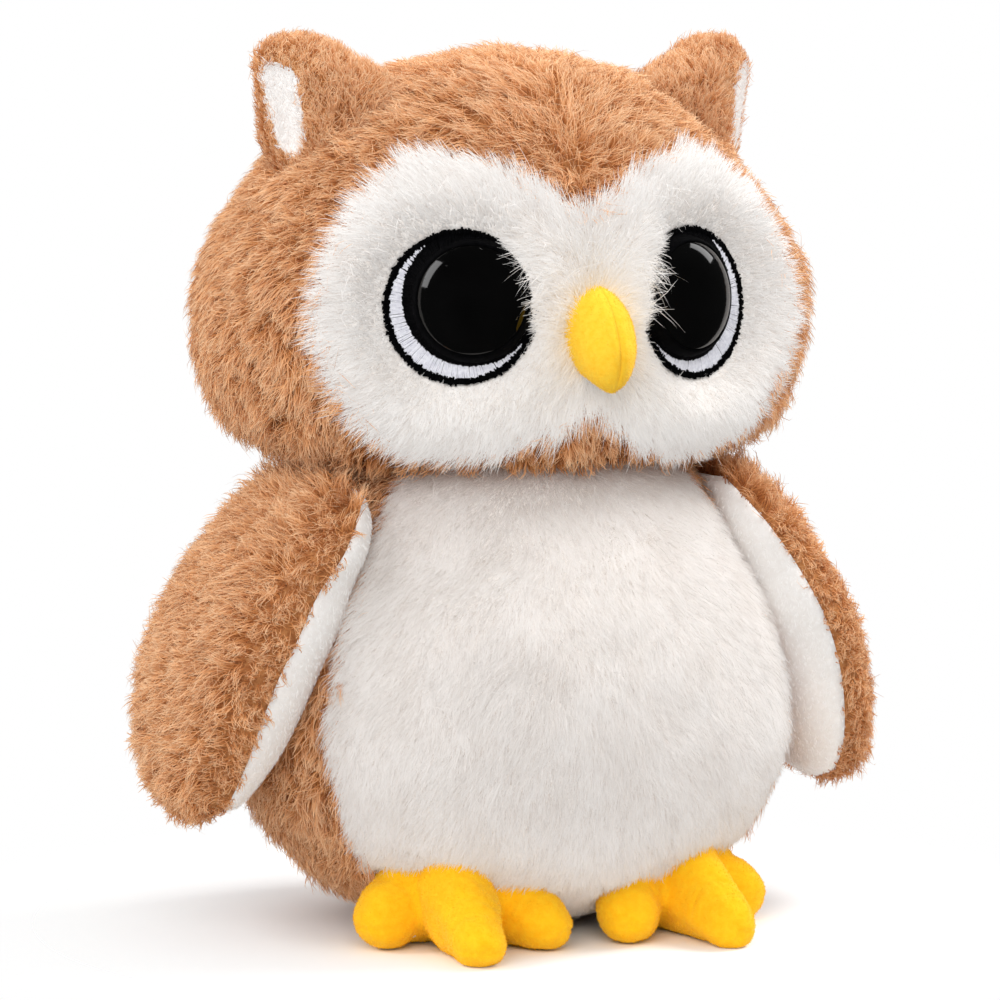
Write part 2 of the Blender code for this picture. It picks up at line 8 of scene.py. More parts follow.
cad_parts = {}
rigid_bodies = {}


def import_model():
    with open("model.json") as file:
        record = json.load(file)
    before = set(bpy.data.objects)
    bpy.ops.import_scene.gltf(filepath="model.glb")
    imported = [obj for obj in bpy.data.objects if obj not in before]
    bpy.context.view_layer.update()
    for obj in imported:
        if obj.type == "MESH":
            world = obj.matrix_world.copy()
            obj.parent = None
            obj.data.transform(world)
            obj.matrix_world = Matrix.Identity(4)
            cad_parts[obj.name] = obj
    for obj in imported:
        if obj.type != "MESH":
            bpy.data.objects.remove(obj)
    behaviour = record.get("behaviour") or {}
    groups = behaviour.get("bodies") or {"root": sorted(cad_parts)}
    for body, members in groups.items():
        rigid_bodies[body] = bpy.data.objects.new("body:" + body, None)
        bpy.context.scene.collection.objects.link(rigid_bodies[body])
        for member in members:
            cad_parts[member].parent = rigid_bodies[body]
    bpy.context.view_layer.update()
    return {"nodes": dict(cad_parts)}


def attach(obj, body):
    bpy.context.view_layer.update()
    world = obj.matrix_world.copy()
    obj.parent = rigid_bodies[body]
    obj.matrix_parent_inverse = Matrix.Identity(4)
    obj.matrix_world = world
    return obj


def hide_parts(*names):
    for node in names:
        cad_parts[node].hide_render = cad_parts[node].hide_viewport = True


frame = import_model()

PI = math.pi
Y0 = 0.0130

F = 0.014
HEAD = [
    (0.1497, 0.0400, 0.0360, 0.0370, 2.00),
    (0.1510, 0.0580, 0.0490, 0.0495, 2.00),
    (0.1550, 0.0725, 0.0590, 0.0575, 2.05),
    (0.1640, 0.0840, 0.0668, 0.0653, 2.10),
    (0.1750, 0.0897, 0.0704, 0.0684, 2.10),
    (0.1890, 0.0925, 0.0720, 0.0700, 2.15),
    (0.2040, 0.0912, 0.0715, 0.0700, 2.15),
    (0.2180, 0.0852, 0.0686, 0.0671, 2.10),
    (0.2310, 0.0766, 0.0630, 0.0620, 2.05),
    (0.2440, 0.0656, 0.0550, 0.0549, 2.00),
    (0.2550, 0.0524, 0.0452, 0.0452, 2.00),
    (0.2630, 0.0382, 0.0338, 0.0338, 2.00),
    (0.2690, 0.0130, 0.0120, 0.0120, 2.00),
]
BODY = [
    (0.0000, 0.0290, 0.0150 + F, 0.0310 - F, 2.00),
    (0.0015, 0.0350, 0.0210 + F, 0.0370 - F, 2.00),
    (0.0080, 0.0440, 0.0320 + F, 0.0450 - F, 2.00),
    (0.0200, 0.0590, 0.0490 + F, 0.0570 - F, 2.05),
    (0.0380, 0.0752, 0.0655 + F, 0.0685 - F, 2.10),
    (0.0600, 0.0844, 0.0715 + F, 0.0730 - F, 2.15),
    (0.0820, 0.0834, 0.0709 + F, 0.0709 - F, 2.10),
    (0.1020, 0.0770, 0.0662 + F, 0.0658 - F, 2.05),
    (0.1200, 0.0678, 0.0593 + 0.8 * F, 0.0586 - 0.8 * F, 2.00),
    (0.1340, 0.0600, 0.0525 + 0.5 * F, 0.0518 - 0.5 * F, 2.00),
    (0.1405, 0.0555, 0.0483 + 0.3 * F, 0.0472 - 0.3 * F, 2.00),
    (0.1470, 0.0490, 0.0440 + 0.1 * F, 0.0425 - 0.1 * F, 2.00),
    (0.1494, 0.0420, 0.0400, 0.0370, 2.00),
]
MASK = np.array([
    (0.0000, 0.2240), (0.0075, 0.2268), (0.0150, 0.2308), (0.0225, 0.2355), (0.0320, 0.2398),
    (0.0400, 0.2414), (0.0490, 0.2388), (0.0585, 0.2310), (0.0682, 0.2205), (0.0745, 0.2095),
    (0.0768, 0.1955), (0.0745, 0.1810), (0.0692, 0.1700), (0.0600, 0.1605), (0.0480, 0.1555),
    (0.0320, 0.1546), (0.0210, 0.1568), (0.0095, 0.1630), (0.0000, 0.1700),
])
BELLY_HALF = math.radians(55)
EYE_CENTRE = (0.0380, -0.0625, 0.1976)
EYE_YAW, EYE_PITCH = math.radians(24), math.radians(4)
PATCH_R, PATCH_T = 0.0239, 0.0012
DOME_R, DOME_H, DOME_Z = 0.0180, 0.0085, 0.0015
DOME_SHIFT = (-0.0036, 0.0020)
BEAK = [
    (0.1720, -0.0860, 0.0020, 0.0020), (0.1745, -0.0850, 0.0050, 0.0065),
    (0.1790, -0.0820, 0.0082, 0.0125), (0.1850, -0.0800, 0.0102, 0.0158),
    (0.1910, -0.0790, 0.0106, 0.0152), (0.1965, -0.0770, 0.0095, 0.0140),
    (0.2010, -0.0750, 0.0068, 0.0115), (0.2040, -0.0730, 0.0030, 0.0080),
]
EAR = [
    (0.2280, 0.0520, -0.0090, 0.0215, 0.0130), (0.2440, 0.0560, -0.0095, 0.0222, 0.0128),
    (0.2540, 0.0585, -0.0095, 0.0216, 0.0120), (0.2630, 0.0614, -0.0095, 0.0200, 0.0108),
    (0.2695, 0.0652, -0.0095, 0.0168, 0.0090), (0.2740, 0.0674, -0.0085, 0.0136, 0.0070),
    (0.2780, 0.0690, -0.0080, 0.0075, 0.0040),
]
EAR_TURN = math.radians(16)
EAR_PANEL_AT = (0.0772, -0.0112, 0.2580)
EAR_PANEL_YAW, EAR_PANEL_TIP = math.radians(48), math.radians(4.3)
WING = [
    (0.1385, 0.0635, -0.0370, 0.0640, 0.0160, 0.0050, 0.0010, 0.0020),
    (0.1330, 0.0670, -0.0430, 0.0665, 0.0230, 0.0090, 0.0018, 0.0040),
    (0.1240, 0.0730, -0.0490, 0.0735, 0.0290, 0.0130, 0.0035, 0.0070),
    (0.1130, 0.0803, -0.0510, 0.0800, 0.0340, 0.0145, 0.0050, 0.0090),
    (0.1000, 0.0870, -0.0540, 0.0870, 0.0370, 0.0150, 0.0065, 0.0100),
    (0.0860, 0.0935, -0.0520, 0.0930, 0.0370, 0.0150, 0.0070, 0.0100),
    (0.0720, 0.0980, -0.0485, 0.0975, 0.0335, 0.0145, 0.0070, 0.0090),
    (0.0600, 0.1008, -0.0440, 0.1003, 0.0265, 0.0130, 0.0065, 0.0070),
    (0.0500, 0.1028, -0.0375, 0.1025, 0.0160, 0.0110, 0.0055, 0.0040),
    (0.0440, 0.1036, -0.0310, 0.1036, 0.0050, 0.0080, 0.0040, 0.0020),
    (0.0415, 0.1038, -0.0250, 0.1040, -0.0050, 0.0040, 0.0020, 0.0005),
]
TOES = [
    (0.0585, -0.0515, 0.0106, 0.0480, -0.0450, 0.0120, 0.0137),
    (0.0415, -0.0865, 0.0086, 0.0385, -0.0590, 0.0124, 0.0150),
    (0.0145, -0.0700, 0.0096, 0.0228, -0.0545, 0.0124, 0.0144),
]
TOE_SINK = 0.0020
SIDES = ((1, "left"), (-1, "right"))


# ---------------------------------------------------------------- numbers
def unit(v):
    return v / np.maximum(np.linalg.norm(v, axis=-1, keepdims=True), 1e-12)


def smooth(x, low, high):
    t = np.clip((x - low) / (high - low), 0, 1)
    return t * t * (3 - 2 * t)


def dense(rows, n):
    """Catmull-Rom through the rows of a table."""
    t = np.array(rows, float)
    u = np.linspace(0, len(t) - 1, n)
    i = np.clip(u.astype(int), 0, len(t) - 2)
    k = (u - i)[:, None]
    e = np.vstack([2 * t[0] - t[1], t, 2 * t[-1] - t[-2]])
    a, b, c, d = e[i], e[i + 1], e[i + 2], e[i + 3]
    return 0.5 * (2 * b + (c - a) * k + (2 * a - 5 * b + 4 * c - d) * k**2 + (3 * b - a - 3 * c + d) * k**3)


def waves(p, scale, seed, count=9):
    """Smooth random field of about unit spread."""
    r = np.random.default_rng(seed)
    k = unit(r.normal(size=(count, 3))) * (2 * PI / scale) * r.uniform(0.6, 1.5, (count, 1))
    return np.cos(p @ k.T + r.uniform(0, 2 * PI, count)).sum(-1) / math.sqrt(count / 2)


def inside_outline(x, z, outline):
    """Even-odd test of points against a closed outline."""
    hit = np.zeros(np.shape(x), bool)
    for (x1, z1), (x2, z2) in zip(outline, np.roll(outline, -1, axis=0)):
        if z1 == z2:
            continue
        crosses = (z1 > z) != (z2 > z)
        hit ^= crosses & (x < (x2 - x1) * (z - z1) / (z2 - z1) + x1)
    return hit


def outline_distance(x, z, outline):
    best = np.full(np.shape(x), 1.0)
    for (x1, z1), (x2, z2) in zip(outline[:-1], outline[1:]):
        dx, dz = x2 - x1, z2 - z1
        t = np.clip(((x - x1) * dx + (z - z1) * dz) / (dx * dx + dz * dz), 0, 1)
        best = np.minimum(best, np.hypot(x - x1 - t * dx, z - z1 - t * dz))
    return best


class Grid:
    """Sheet of points, rows by columns, with outward normals, to build a skin from and to set hairs on."""

    def __init__(self, p, wrap=True, centre=None):
        self.wrap = wrap
        self.p = p
        self.n = self.normals(centre)

    def normals(self, centre):
        p = self.p
        du = (np.roll(p, -1, 1) - np.roll(p, 1, 1)) if self.wrap else np.gradient(p, axis=1)
        n = np.cross(du, np.gradient(p, axis=0))
        c = p.reshape(-1, 3).mean(0) if centre is None else np.array(centre)
        length = np.linalg.norm(n, axis=-1)
        good = length > 1e-12
        n = unit(n)
        if (n * (p - c)).sum(-1)[good].mean() < 0:
            n = -n
        for row in range(len(p)):
            if not good[row].all():
                n[row][~good[row]] = unit((p[row] - c)[~good[row]])
        return n

    def quads(self):
        p = np.concatenate([self.p, self.p[:, :1]], 1) if self.wrap else self.p
        n = np.concatenate([self.n, self.n[:, :1]], 1) if self.wrap else self.n
        return p, n

    def sample(self, count, rng, weight=None):
        """Points spread by area times weight(centres, normals), with their normals and grid places."""
        p, n = self.quads()
        a, b, c, d = p[:-1, :-1], p[:-1, 1:], p[1:, 1:], p[1:, :-1]
        area = np.linalg.norm(np.cross(c - a, d - b), axis=-1) / 2
        if weight is not None:
            area = area * weight((a + b + c + d) / 4, unit(n[:-1, :-1] + n[1:, 1:]))
        total = np.cumsum(area.ravel())
        at = np.searchsorted(total, (np.arange(count) + rng.uniform(0, 1, count)) / count * total[-1])
        at = np.clip(at, 0, area.size - 1)
        i, j = np.unravel_index(at, area.shape)
        s, t = rng.uniform(0, 1, (2, count, 1))

        def mix(g):
            return (g[i, j] * (1 - s) + g[i, j + 1] * s) * (1 - t) + (g[i + 1, j] * (1 - s) + g[i + 1, j + 1] * s) * t

        return mix(p), unit(mix(n)), (i + t[:, 0]) / (area.shape[0]), (j + s[:, 0]) / area.shape[1]

    def area(self, weight=None):
        p, n = self.quads()
        a, b, c, d = p[:-1, :-1], p[:-1, 1:], p[1:, 1:], p[1:, :-1]
        area = np.linalg.norm(np.cross(c - a, d - b), axis=-1) / 2
        if weight is not None:
            area = area * weight((a + b + c + d) / 4, unit(n[:-1, :-1] + n[1:, 1:]))
        return area.sum()


def mesh_object(name, verts, loops, starts, uv=None):
    mesh = bpy.data.meshes.new(name)
    mesh.vertices.add(len(verts))
    mesh.vertices.foreach_set("co", np.ascontiguousarray(verts, np.float32).ravel())
    mesh.loops.add(len(loops))
    mesh.loops.foreach_set("vertex_index", np.ascontiguousarray(loops, np.int32))
    mesh.polygons.add(len(starts))
    mesh.polygons.foreach_set("loop_start", np.ascontiguousarray(starts, np.int32))
    if uv is not None:
        layer = mesh.uv_layers.new(name="OFBake")
        layer.uv.foreach_set("vector", np.ascontiguousarray(uv, np.float32).ravel())
    mesh.update(calc_edges=True)
    mesh.validate()
    mesh.shade_smooth()
    ob = bpy.data.objects.new(name, mesh)
    bpy.context.scene.collection.objects.link(ob)
    return ob


def sheet_object(name, grid, keep=None, thick=0.0015, outward=None):
    """A closed shell from the grid's quads, with its inner side `thick` below."""
    p, n = grid.p, grid.n
    rows, cols = p.shape[:2]
    index = np.arange(rows * cols).reshape(rows, cols)
    if grid.wrap:
        index = np.concatenate([index, index[:, :1]], 1)
    q = np.stack([index[:-1, :-1], index[:-1, 1:], index[1:, 1:], index[1:, :-1]], -1).reshape(-1, 4)
    flat, norm = p.reshape(-1, 3), n.reshape(-1, 3)
    if isinstance(keep, np.ndarray):
        q = q[keep.ravel()]
    elif keep is not None:
        q = q[keep(flat[q].mean(1), unit(norm[q].mean(1)))]
    a, b, c, d = (flat[q[:, k]] for k in range(4))
    face = np.cross(c - a, d - b)
    flip = (face * norm[q].mean(1)).sum(-1) < 0
    q[flip] = q[flip][:, ::-1]
    q = q[np.linalg.norm(face, axis=-1) > 1e-12]
    used, inverse = np.unique(q, return_inverse=True)
    q = inverse.reshape(q.shape)
    ob = mesh_object(name, flat[used], q.ravel(), np.arange(len(q)) * 4)
    weld = ob.modifiers.new("weld", "WELD")
    weld.merge_threshold = 0.000002
    if thick:
        shell = ob.modifiers.new("cloth", "SOLIDIFY")
        shell.thickness = thick
        shell.offset = -1
    return ob


# ---------------------------------------------------------------- materials
def srgb(code):
    out = []
    for k in (0, 2, 4):
        c = int(code[k:k + 2], 16) / 255
        out.append(c / 12.92 if c <= 0.04045 else ((c + 0.055) / 1.055) ** 2.4)
    return tuple(out)


def new_material(name, rough=0.9, sheen=0.0, sheen_tint=(1, 1, 1), sheen_rough=0.5, specular=0.3):
    m = bpy.data.materials.new(name)
    m.use_nodes = True
    p = m.node_tree.nodes["Principled BSDF"]
    p.inputs["Roughness"].default_value = rough
    p.inputs["Specular IOR Level"].default_value = specular
    p.inputs["Sheen Weight"].default_value = sheen
    p.inputs["Sheen Tint"].default_value = (*sheen_tint, 1)
    p.inputs["Sheen Roughness"].default_value = sheen_rough
    return m, m.node_tree, p


def node(nt, kind, **values):
    n = nt.nodes.new(kind)
    for k, v in values.items():
        if k in n.inputs:
            n.inputs[k].default_value = v
        else:
            setattr(n, k, v)
    return n


def ramp(nt, fac, stops, ease="LINEAR"):
    r = nt.nodes.new("ShaderNodeValToRGB")
    r.color_ramp.interpolation = ease
    e = r.color_ramp.elements
    while len(e) < len(stops):
        e.new(0.5)
    for k, (at, rgb) in enumerate(stops):
        e[k].position = at
        e[k].color = (*rgb, 1)
    nt.links.new(fac, r.inputs["Fac"])
    return r.outputs["Color"]


def times(nt, a, b, factor=1.0):
    m = node(nt, "ShaderNodeMix", data_type="RGBA", blend_type="MULTIPLY")
    m.inputs[0].default_value = factor
    nt.links.new(a, m.inputs[6])
    nt.links.new(b, m.inputs[7])
    return m.outputs[2]


def grey(v):
    return (v, v, v)


def hair_material(name, stops, tones, rough=0.75, sheen=0.0, tint=(1, 1, 1), specular=0.15):
    """Colour along each hair from its UV's v, darker at the root both as the pile's own root colour and as painted
    shade between the hairs, and from hair to hair from its u.
    """
    m, nt, p = new_material(name, rough, sheen, tint, 0.6, specular)
    uv = node(nt, "ShaderNodeUVMap", uv_map="OFBake")
    parts = node(nt, "ShaderNodeSeparateXYZ")
    nt.links.new(uv.outputs["UV"], parts.inputs[0])
    # the darker root end of this ramp is partly painted shade between the hairs
    along = ramp(nt, parts.outputs["Y"], stops)
    tone = ramp(nt, parts.outputs["X"], tones)
    nt.links.new(times(nt, along, tone), p.inputs["Base Color"])
    return m


def noisy_material(name, low, high, scale, rough=0.9, sheen=0.0, tint=(1, 1, 1), bump=0.3, fine=None, distance=0.0004, specular=0.2,
                   spread=(0.35, 0.65), large=None):
    """Cloth whose colour and surface follow noise in the object's own space."""
    m, nt, p = new_material(name, rough, sheen, tint, 0.45, specular)
    at = node(nt, "ShaderNodeTexCoord")
    n = node(nt, "ShaderNodeTexNoise", Scale=scale, Detail=4.0, Roughness=0.6)
    nt.links.new(at.outputs["Object"], n.inputs["Vector"])
    colour = ramp(nt, n.outputs["Fac"], [(spread[0], low), (spread[1], high)])
    if large:
        big = node(nt, "ShaderNodeTexNoise", Scale=large, Detail=2.0, Roughness=0.5)
        nt.links.new(at.outputs["Object"], big.inputs["Vector"])
        colour = times(nt, colour, ramp(nt, big.outputs["Fac"], [(0.3, grey(0.94)), (0.65, grey(1.0))]))
    nt.links.new(colour, p.inputs["Base Color"])
    f = node(nt, "ShaderNodeTexNoise", Scale=fine or scale * 2.5, Detail=5.0, Roughness=0.65)
    nt.links.new(at.outputs["Object"], f.inputs["Vector"])
    b = node(nt, "ShaderNodeBump", Strength=bump, Distance=distance)
    nt.links.new(f.outputs["Fac"], b.inputs["Height"])
    nt.links.new(b.outputs["Normal"], p.inputs["Normal"])
    return m


# The root colours at v 0 are partly the pile's own colour and partly painted shade between the hairs.
BROWN_HAIR = hair_material(
    "brown pile",
    [(0.0, srgb("A06236")), (0.35, srgb("D08B52")), (0.70, srgb("ECB282")), (1.0, srgb("FCDEBA"))],
    [(0.0, (0.76, 0.66, 0.575)), (0.35, (0.905, 0.862, 0.815)), (1.0, (1.0, 0.995, 0.98))],
    rough=0.7, sheen=0.15, tint=srgb("FFD9B8"), specular=0.12)
WHITE_HAIR = hair_material(
    "white pile",
    [(0.0, srgb("EAE1DA")), (0.4, srgb("F3EEEA")), (1.0, srgb("FBF9F7"))],
    [(0.0, (0.87, 0.845, 0.825)), (0.5, (0.915, 0.905, 0.897)), (1.0, (0.94, 0.94, 0.938))],
    rough=0.9, sheen=0.1, specular=0.05)
# The belly's pile is a darker copy of the white pile: painted shade that tones down the stronger light on the belly.
SHADED_BELLY_HAIR = hair_material(
    "belly pile painted shade",
    [(0.0, srgb("EAE1DA")), (0.4, srgb("F3EEEA")), (1.0, srgb("FBF9F7"))],
    [(0.0, (0.71, 0.680, 0.658)), (0.5, (0.762, 0.738, 0.722)), (1.0, (0.795, 0.778, 0.767))],
    rough=0.9, sheen=0.1, specular=0.05)
SHORT_HAIR = hair_material(
    "short white plush hairs",
    [(0.0, srgb("F5F1EE")), (1.0, srgb("FFFEFD"))],
    [(0.0, grey(0.96)), (1.0, grey(1.0))], rough=0.8, specular=0.1)
YELLOW_HAIR = hair_material(
    "yellow velour hairs",
    [(0.0, srgb("FFB208")), (0.5, srgb("FFC018")), (1.0, srgb("FFD03A"))],
    [(0.0, grey(0.88)), (1.0, grey(1.0))], rough=0.75, specular=0.1)
BEAK_HAIR = hair_material(
    "beak velour hairs",
    [(0.0, srgb("FFBE24")), (0.5, srgb("FFCA34")), (1.0, srgb("FFD850"))],
    [(0.0, grey(0.90)), (1.0, grey(1.0))], rough=0.75, specular=0.1)
BROWN_SKIN = noisy_material("brown pile ground", srgb("9A6038"), srgb("C08452"), 420, rough=1.0, bump=0.6, distance=0.0008)
WHITE_SKIN = noisy_material("white pile ground", srgb("F0E8E1"), srgb("FAF6F2"), 420, rough=1.0, bump=0.4, distance=0.0006)
PLUSH = noisy_material("short white plush", srgb("F3EFEB"), srgb("F9F6F3"), 500, rough=0.95, sheen=0.3, bump=0.2, distance=0.00015, fine=2600, large=60)
VELOUR = noisy_material("yellow velour", srgb("FFBA10"), srgb("FFC61E"), 420, rough=0.9, sheen=0.35, tint=srgb("FFE27A"), bump=0.25,
                        distance=0.00015, fine=3200, large=90)
BEAK_VELOUR = noisy_material("beak velour", srgb("FFC42A"), srgb("FFCF3A"), 420, rough=0.9, sheen=0.35, tint=srgb("FFE68A"), bump=0.25, distance=0.0002, fine=2600, large=60)
BASE_CLOTH = noisy_material("woven base cloth", srgb("6B4023"), srgb("8A5530"), 900, rough=0.95, bump=0.5)
FILLING = noisy_material("fibre filling", srgb("E4E4E0"), srgb("F6F6F4"), 300, rough=1.0, bump=0.8, distance=0.001)
PELLETS = noisy_material("pellet cloth", srgb("D8D2C8"), srgb("ECE7DF"), 500, rough=0.95, bump=0.5)
WASHER = noisy_material("moulded plastic", srgb("DEDEDA"), srgb("E8E8E4"), 120, rough=0.45, bump=0.05, specular=0.5)
THREAD_BLACK = noisy_material("black satin thread", srgb("030304"), srgb("08080A"), 900, rough=0.75, sheen=0.0, bump=0.25, distance=0.0001, specular=0.05)
THREAD_WHITE = noisy_material("white satin thread", srgb("DDDDE6"), srgb("F4F4FA"), 900, rough=0.45, sheen=0.1, bump=0.25, distance=0.0001, specular=0.4)


def eye_material():
    m, nt, p = new_material("polished black plastic", 0.07, specular=0.4)
    at = node(nt, "ShaderNodeTexCoord")
    n = node(nt, "ShaderNodeTexNoise", Scale=60.0, Detail=3.0)
    nt.links.new(at.outputs["Object"], n.inputs["Vector"])
    nt.links.new(ramp(nt, n.outputs["Fac"], [(0.3, grey(0.0012)), (0.7, grey(0.0024))]), p.inputs["Base Color"])
    return m


EYE = eye_material()


def finish(ob, material, body, slot, *nodes, pad=None):
    ob.data.materials.clear()
    ob.data.materials.append(material)
    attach(ob, body)
    if nodes:
        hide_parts(*nodes)
    return ob


# ---------------------------------------------------------------- hairs
LEVELS = np.array([0.0, 0.30, 0.60, 0.85, 1.0])


class Hairs:
    """Tufts of hairs: each tuft has a middle, a normal, a lean, and hairs that draw together towards its tip."""

    def __init__(self, seed):
        self.rng = np.random.default_rng(seed)
        self.parts = []

    def grow(self, p, n, flow, height, lean, per=10, radius=0.0018, gather=0.7, width=0.00038, curl=0.0009, wander=0.35,
             rogue=0.12, tone=None, root=0.0006, twist=38, vary=0.14, floor=True, bend=1.7, turned=0.25):
        r = self.rng
        k = len(p)
        if k == 0:
            return
        f = unit(flow - n * (flow * n).sum(-1, keepdims=True))
        s = np.cross(n, f)
        turn = r.normal(0, wander, k)[:, None]
        f, s = f * np.cos(turn) + s * np.sin(turn), s * np.cos(turn) - f * np.sin(turn)
        tuft_h = np.clip(1 + r.normal(0, vary, k), 0.6, 1.35)
        tuft_l = np.clip(1 + r.normal(0, 0.22, k), 0.4, 1.6)
        tone = r.uniform(0.15, 0.85, k) if tone is None else tone

        def spread(v):
            return np.repeat(v, per, axis=0)

        p, n, f, s = spread(p), spread(n), spread(f), spread(s)
        m = len(p)
        h = spread(height * tuft_h) * np.clip(1 + r.normal(0, 0.13, m), 0.5, 1.3)
        l = spread(lean * tuft_l) * np.clip(1 + r.normal(0, 0.22, m), 0.3, 1.8)
        stray = r.uniform(size=m) < rogue
        angle = np.where(stray, r.uniform(-PI, PI, m), r.normal(0, 0.16, m))[:, None]
        f, s = f * np.cos(angle) + s * np.sin(angle), s * np.cos(angle) - f * np.sin(angle)
        around, out = r.uniform(0, 2 * PI, m), np.sqrt(r.uniform(0, 1, m)) * radius
        a, b = out * np.cos(around), out * np.sin(around)
        drawn = np.where(stray, 0.2, gather * r.uniform(0.75, 1.15, m))
        amount = curl * np.where(stray, 1.9, 1.0) * r.uniform(0.3, 1.4, m)
        phase, speed = r.uniform(0, 1, (2, m)), r.uniform(0.45, 1.0, (2, m))
        pts = np.empty((m, 5, 3), np.float32)
        for j, t in enumerate(LEVELS):
            hold = 1 - drawn * t**1.2
            wave = [amount * t * (np.sin(2 * PI * (phase[q] + speed[q] * t)) - np.sin(2 * PI * phase[q]) * (1 - t)) for q in (0, 1)]
            up = h * (1 - (1 - t) ** bend) - root
            pts[:, j] = (p + n * up[:, None] + f * (l * t**1.5 + a * hold + wave[0])[:, None] + s * (b * hold + wave[1])[:, None])
        if floor:
            pts[..., 2] = np.maximum(pts[..., 2], 0.0006)
        tangent = unit(np.gradient(pts, axis=1))
        theta = np.radians(np.where(r.uniform(size=m) < turned, r.uniform(-90, 90, m), r.normal(0, twist, m)))[:, None, None]
        side = unit(np.cross(tangent, np.cross(s[:, None], tangent)))
        side = side * np.cos(theta) + np.cross(tangent, side) * np.sin(theta)
        w = (width * r.uniform(0.75, 1.25, m) * np.where(stray, 0.75, 1.0) / 2)[:, None, None] * np.array([1.0, 0.95, 0.75, 0.45, 0.0])[None, :, None]
        low, high = pts - side * w, pts + side * w
        verts = np.empty((m, 9, 3), np.float32)
        verts[:, 0:8:2] = low[:, :4]
        verts[:, 1:8:2] = high[:, :4]
        verts[:, 8] = pts[:, 4]
        hue = np.clip(spread(tone) + r.normal(0, 0.13, m) + np.where(stray, 0.2, 0), 0.03, 0.97)
        self.parts.append((verts, hue.astype(np.float32)))

    def objects(self, name, material, body, slot, most=27500, airy=0.0):
        """The hairs as pieces of at most `most`; a share `airy` of the pieces lets the light through."""
        verts = np.concatenate([v for v, _ in self.parts])
        hue = np.concatenate([h for _, h in self.parts])
        pieces = max(1, math.ceil(len(verts) / most))
        out = []
        for k in range(pieces):
            v, u = verts[k::pieces], hue[k::pieces]
            m = len(v)
            base = (np.arange(m) * 9)[:, None]
            loops = np.array([0, 1, 3, 2, 2, 3, 5, 4, 4, 5, 7, 6, 6, 7, 8])[None] + base
            starts = np.array([0, 4, 8, 12])[None] + (np.arange(m) * 15)[:, None]
            across = np.array([-1, 1, 1, -1] * 3 + [-1, 1, 0]) * 0.012
            level = np.array([0, 0, 1, 1, 1, 1, 2, 2, 2, 2, 3, 3, 3, 3, 4])
            uv = np.empty((m, 15, 2), np.float32)
            uv[..., 0] = u[:, None] + across[None]
            uv[..., 1] = (0.02 + 0.96 * LEVELS[level])[None]
            ob = mesh_object("%s_%d" % (name, k + 1) if pieces > 1 else name, v.reshape(-1, 3), loops.ravel(), starts.ravel(), uv.reshape(-1, 2))
            finish(ob, material, body, slot)
            if (k + 1) * airy - math.floor(k * airy + 1e-9) >= 1 - 1e-9:
                ob.visible_shadow = False
                ob.visible_diffuse = False
            out.append(ob)
        return out


# ---------------------------------------------------------------- skins of head and body
def round_form(rows, levels, around, caps):
    t = dense([caps[0]] + list(rows) + [caps[1]], levels)
    a = 2 * PI * (np.arange(around) + 0.5) / around
    c, s = np.cos(a)[None], np.sin(a)[None]
    z, w, front, back, e = (t[:, k:k + 1] for k in range(5))
    w, front, back = np.maximum(w, 1e-5), np.maximum(front, 1e-5), np.maximum(back, 1e-5)
    x = w * np.sign(c) * np.abs(c) ** (2 / e)
    y = np.where(s < 0, front, back) * np.sign(s) * np.abs(s) ** (2 / e)
    return np.stack([x, y + Y0, np.broadcast_to(z, x.shape)], -1)


def row_at(rows, z):
    t = np.array(rows)
    return [np.interp(z, t[:, 0], t[:, k]) for k in range(1, 5)]


def inside_form(p, rows, off):
    """Whether points lie within a form grown by a distance."""
    z = p[..., 2]
    w, front, back, e = row_at(rows, z)
    y = p[..., 1] - Y0
    d = np.where(y < 0, front, back) + off
    v = (np.abs(p[..., 0]) / (w + off)) ** e + (np.abs(y) / d) ** e
    return (v < 1) & (z > rows[0][0] - off) & (z < rows[-1][0] + off)


def eye_axes(s):
    n = np.array([s * math.sin(EYE_YAW) * math.cos(EYE_PITCH), -math.cos(EYE_YAW) * math.cos(EYE_PITCH), math.sin(EYE_PITCH)])
    x = unit(np.cross([0, 0, 1.0], n))
    y = np.cross(n, x)
    return np.array([s * EYE_CENTRE[0], EYE_CENTRE[1] + Y0, EYE_CENTRE[2]]), x, y, n


def eye_place(p, s):
    """Coordinates in an eye's own frame: level, up and outward, and the distance from its axis."""
    c, x, y, n = eye_axes(s)
    q = p - c
    e = np.stack([q @ x, q @ y, q @ n], -1)
    return e, np.hypot(e[..., 0], e[..., 1])


def eye_gap(p):
    """Distance from the nearer eye's axis, on the front of the head only."""
    r = np.minimum(eye_place(p, 1)[1], eye_place(p, -1)[1])
    return np.where(p[..., 1] < 0, r, 1.0)


def mask_side(p):
    """Distance from the middle, for the mask's outline, which is sewn a little narrower on the owl's left."""
    x = np.abs(p[..., 0])
    return x + np.where(p[..., 0] > 0, 0.0022, 0.0004) * smooth(x, 0.060, 0.070) * (1 - smooth(p[..., 2], 0.222, 0.232))


def face_share(p, soft=0.0):
    """Whether points belong to the white face."""
    return inside_outline(mask_side(p) + soft, p[..., 2], MASK) & (p[..., 1] - Y0 < -0.012)


def face_edge(p):
    return outline_distance(mask_side(p), p[..., 2], MASK)


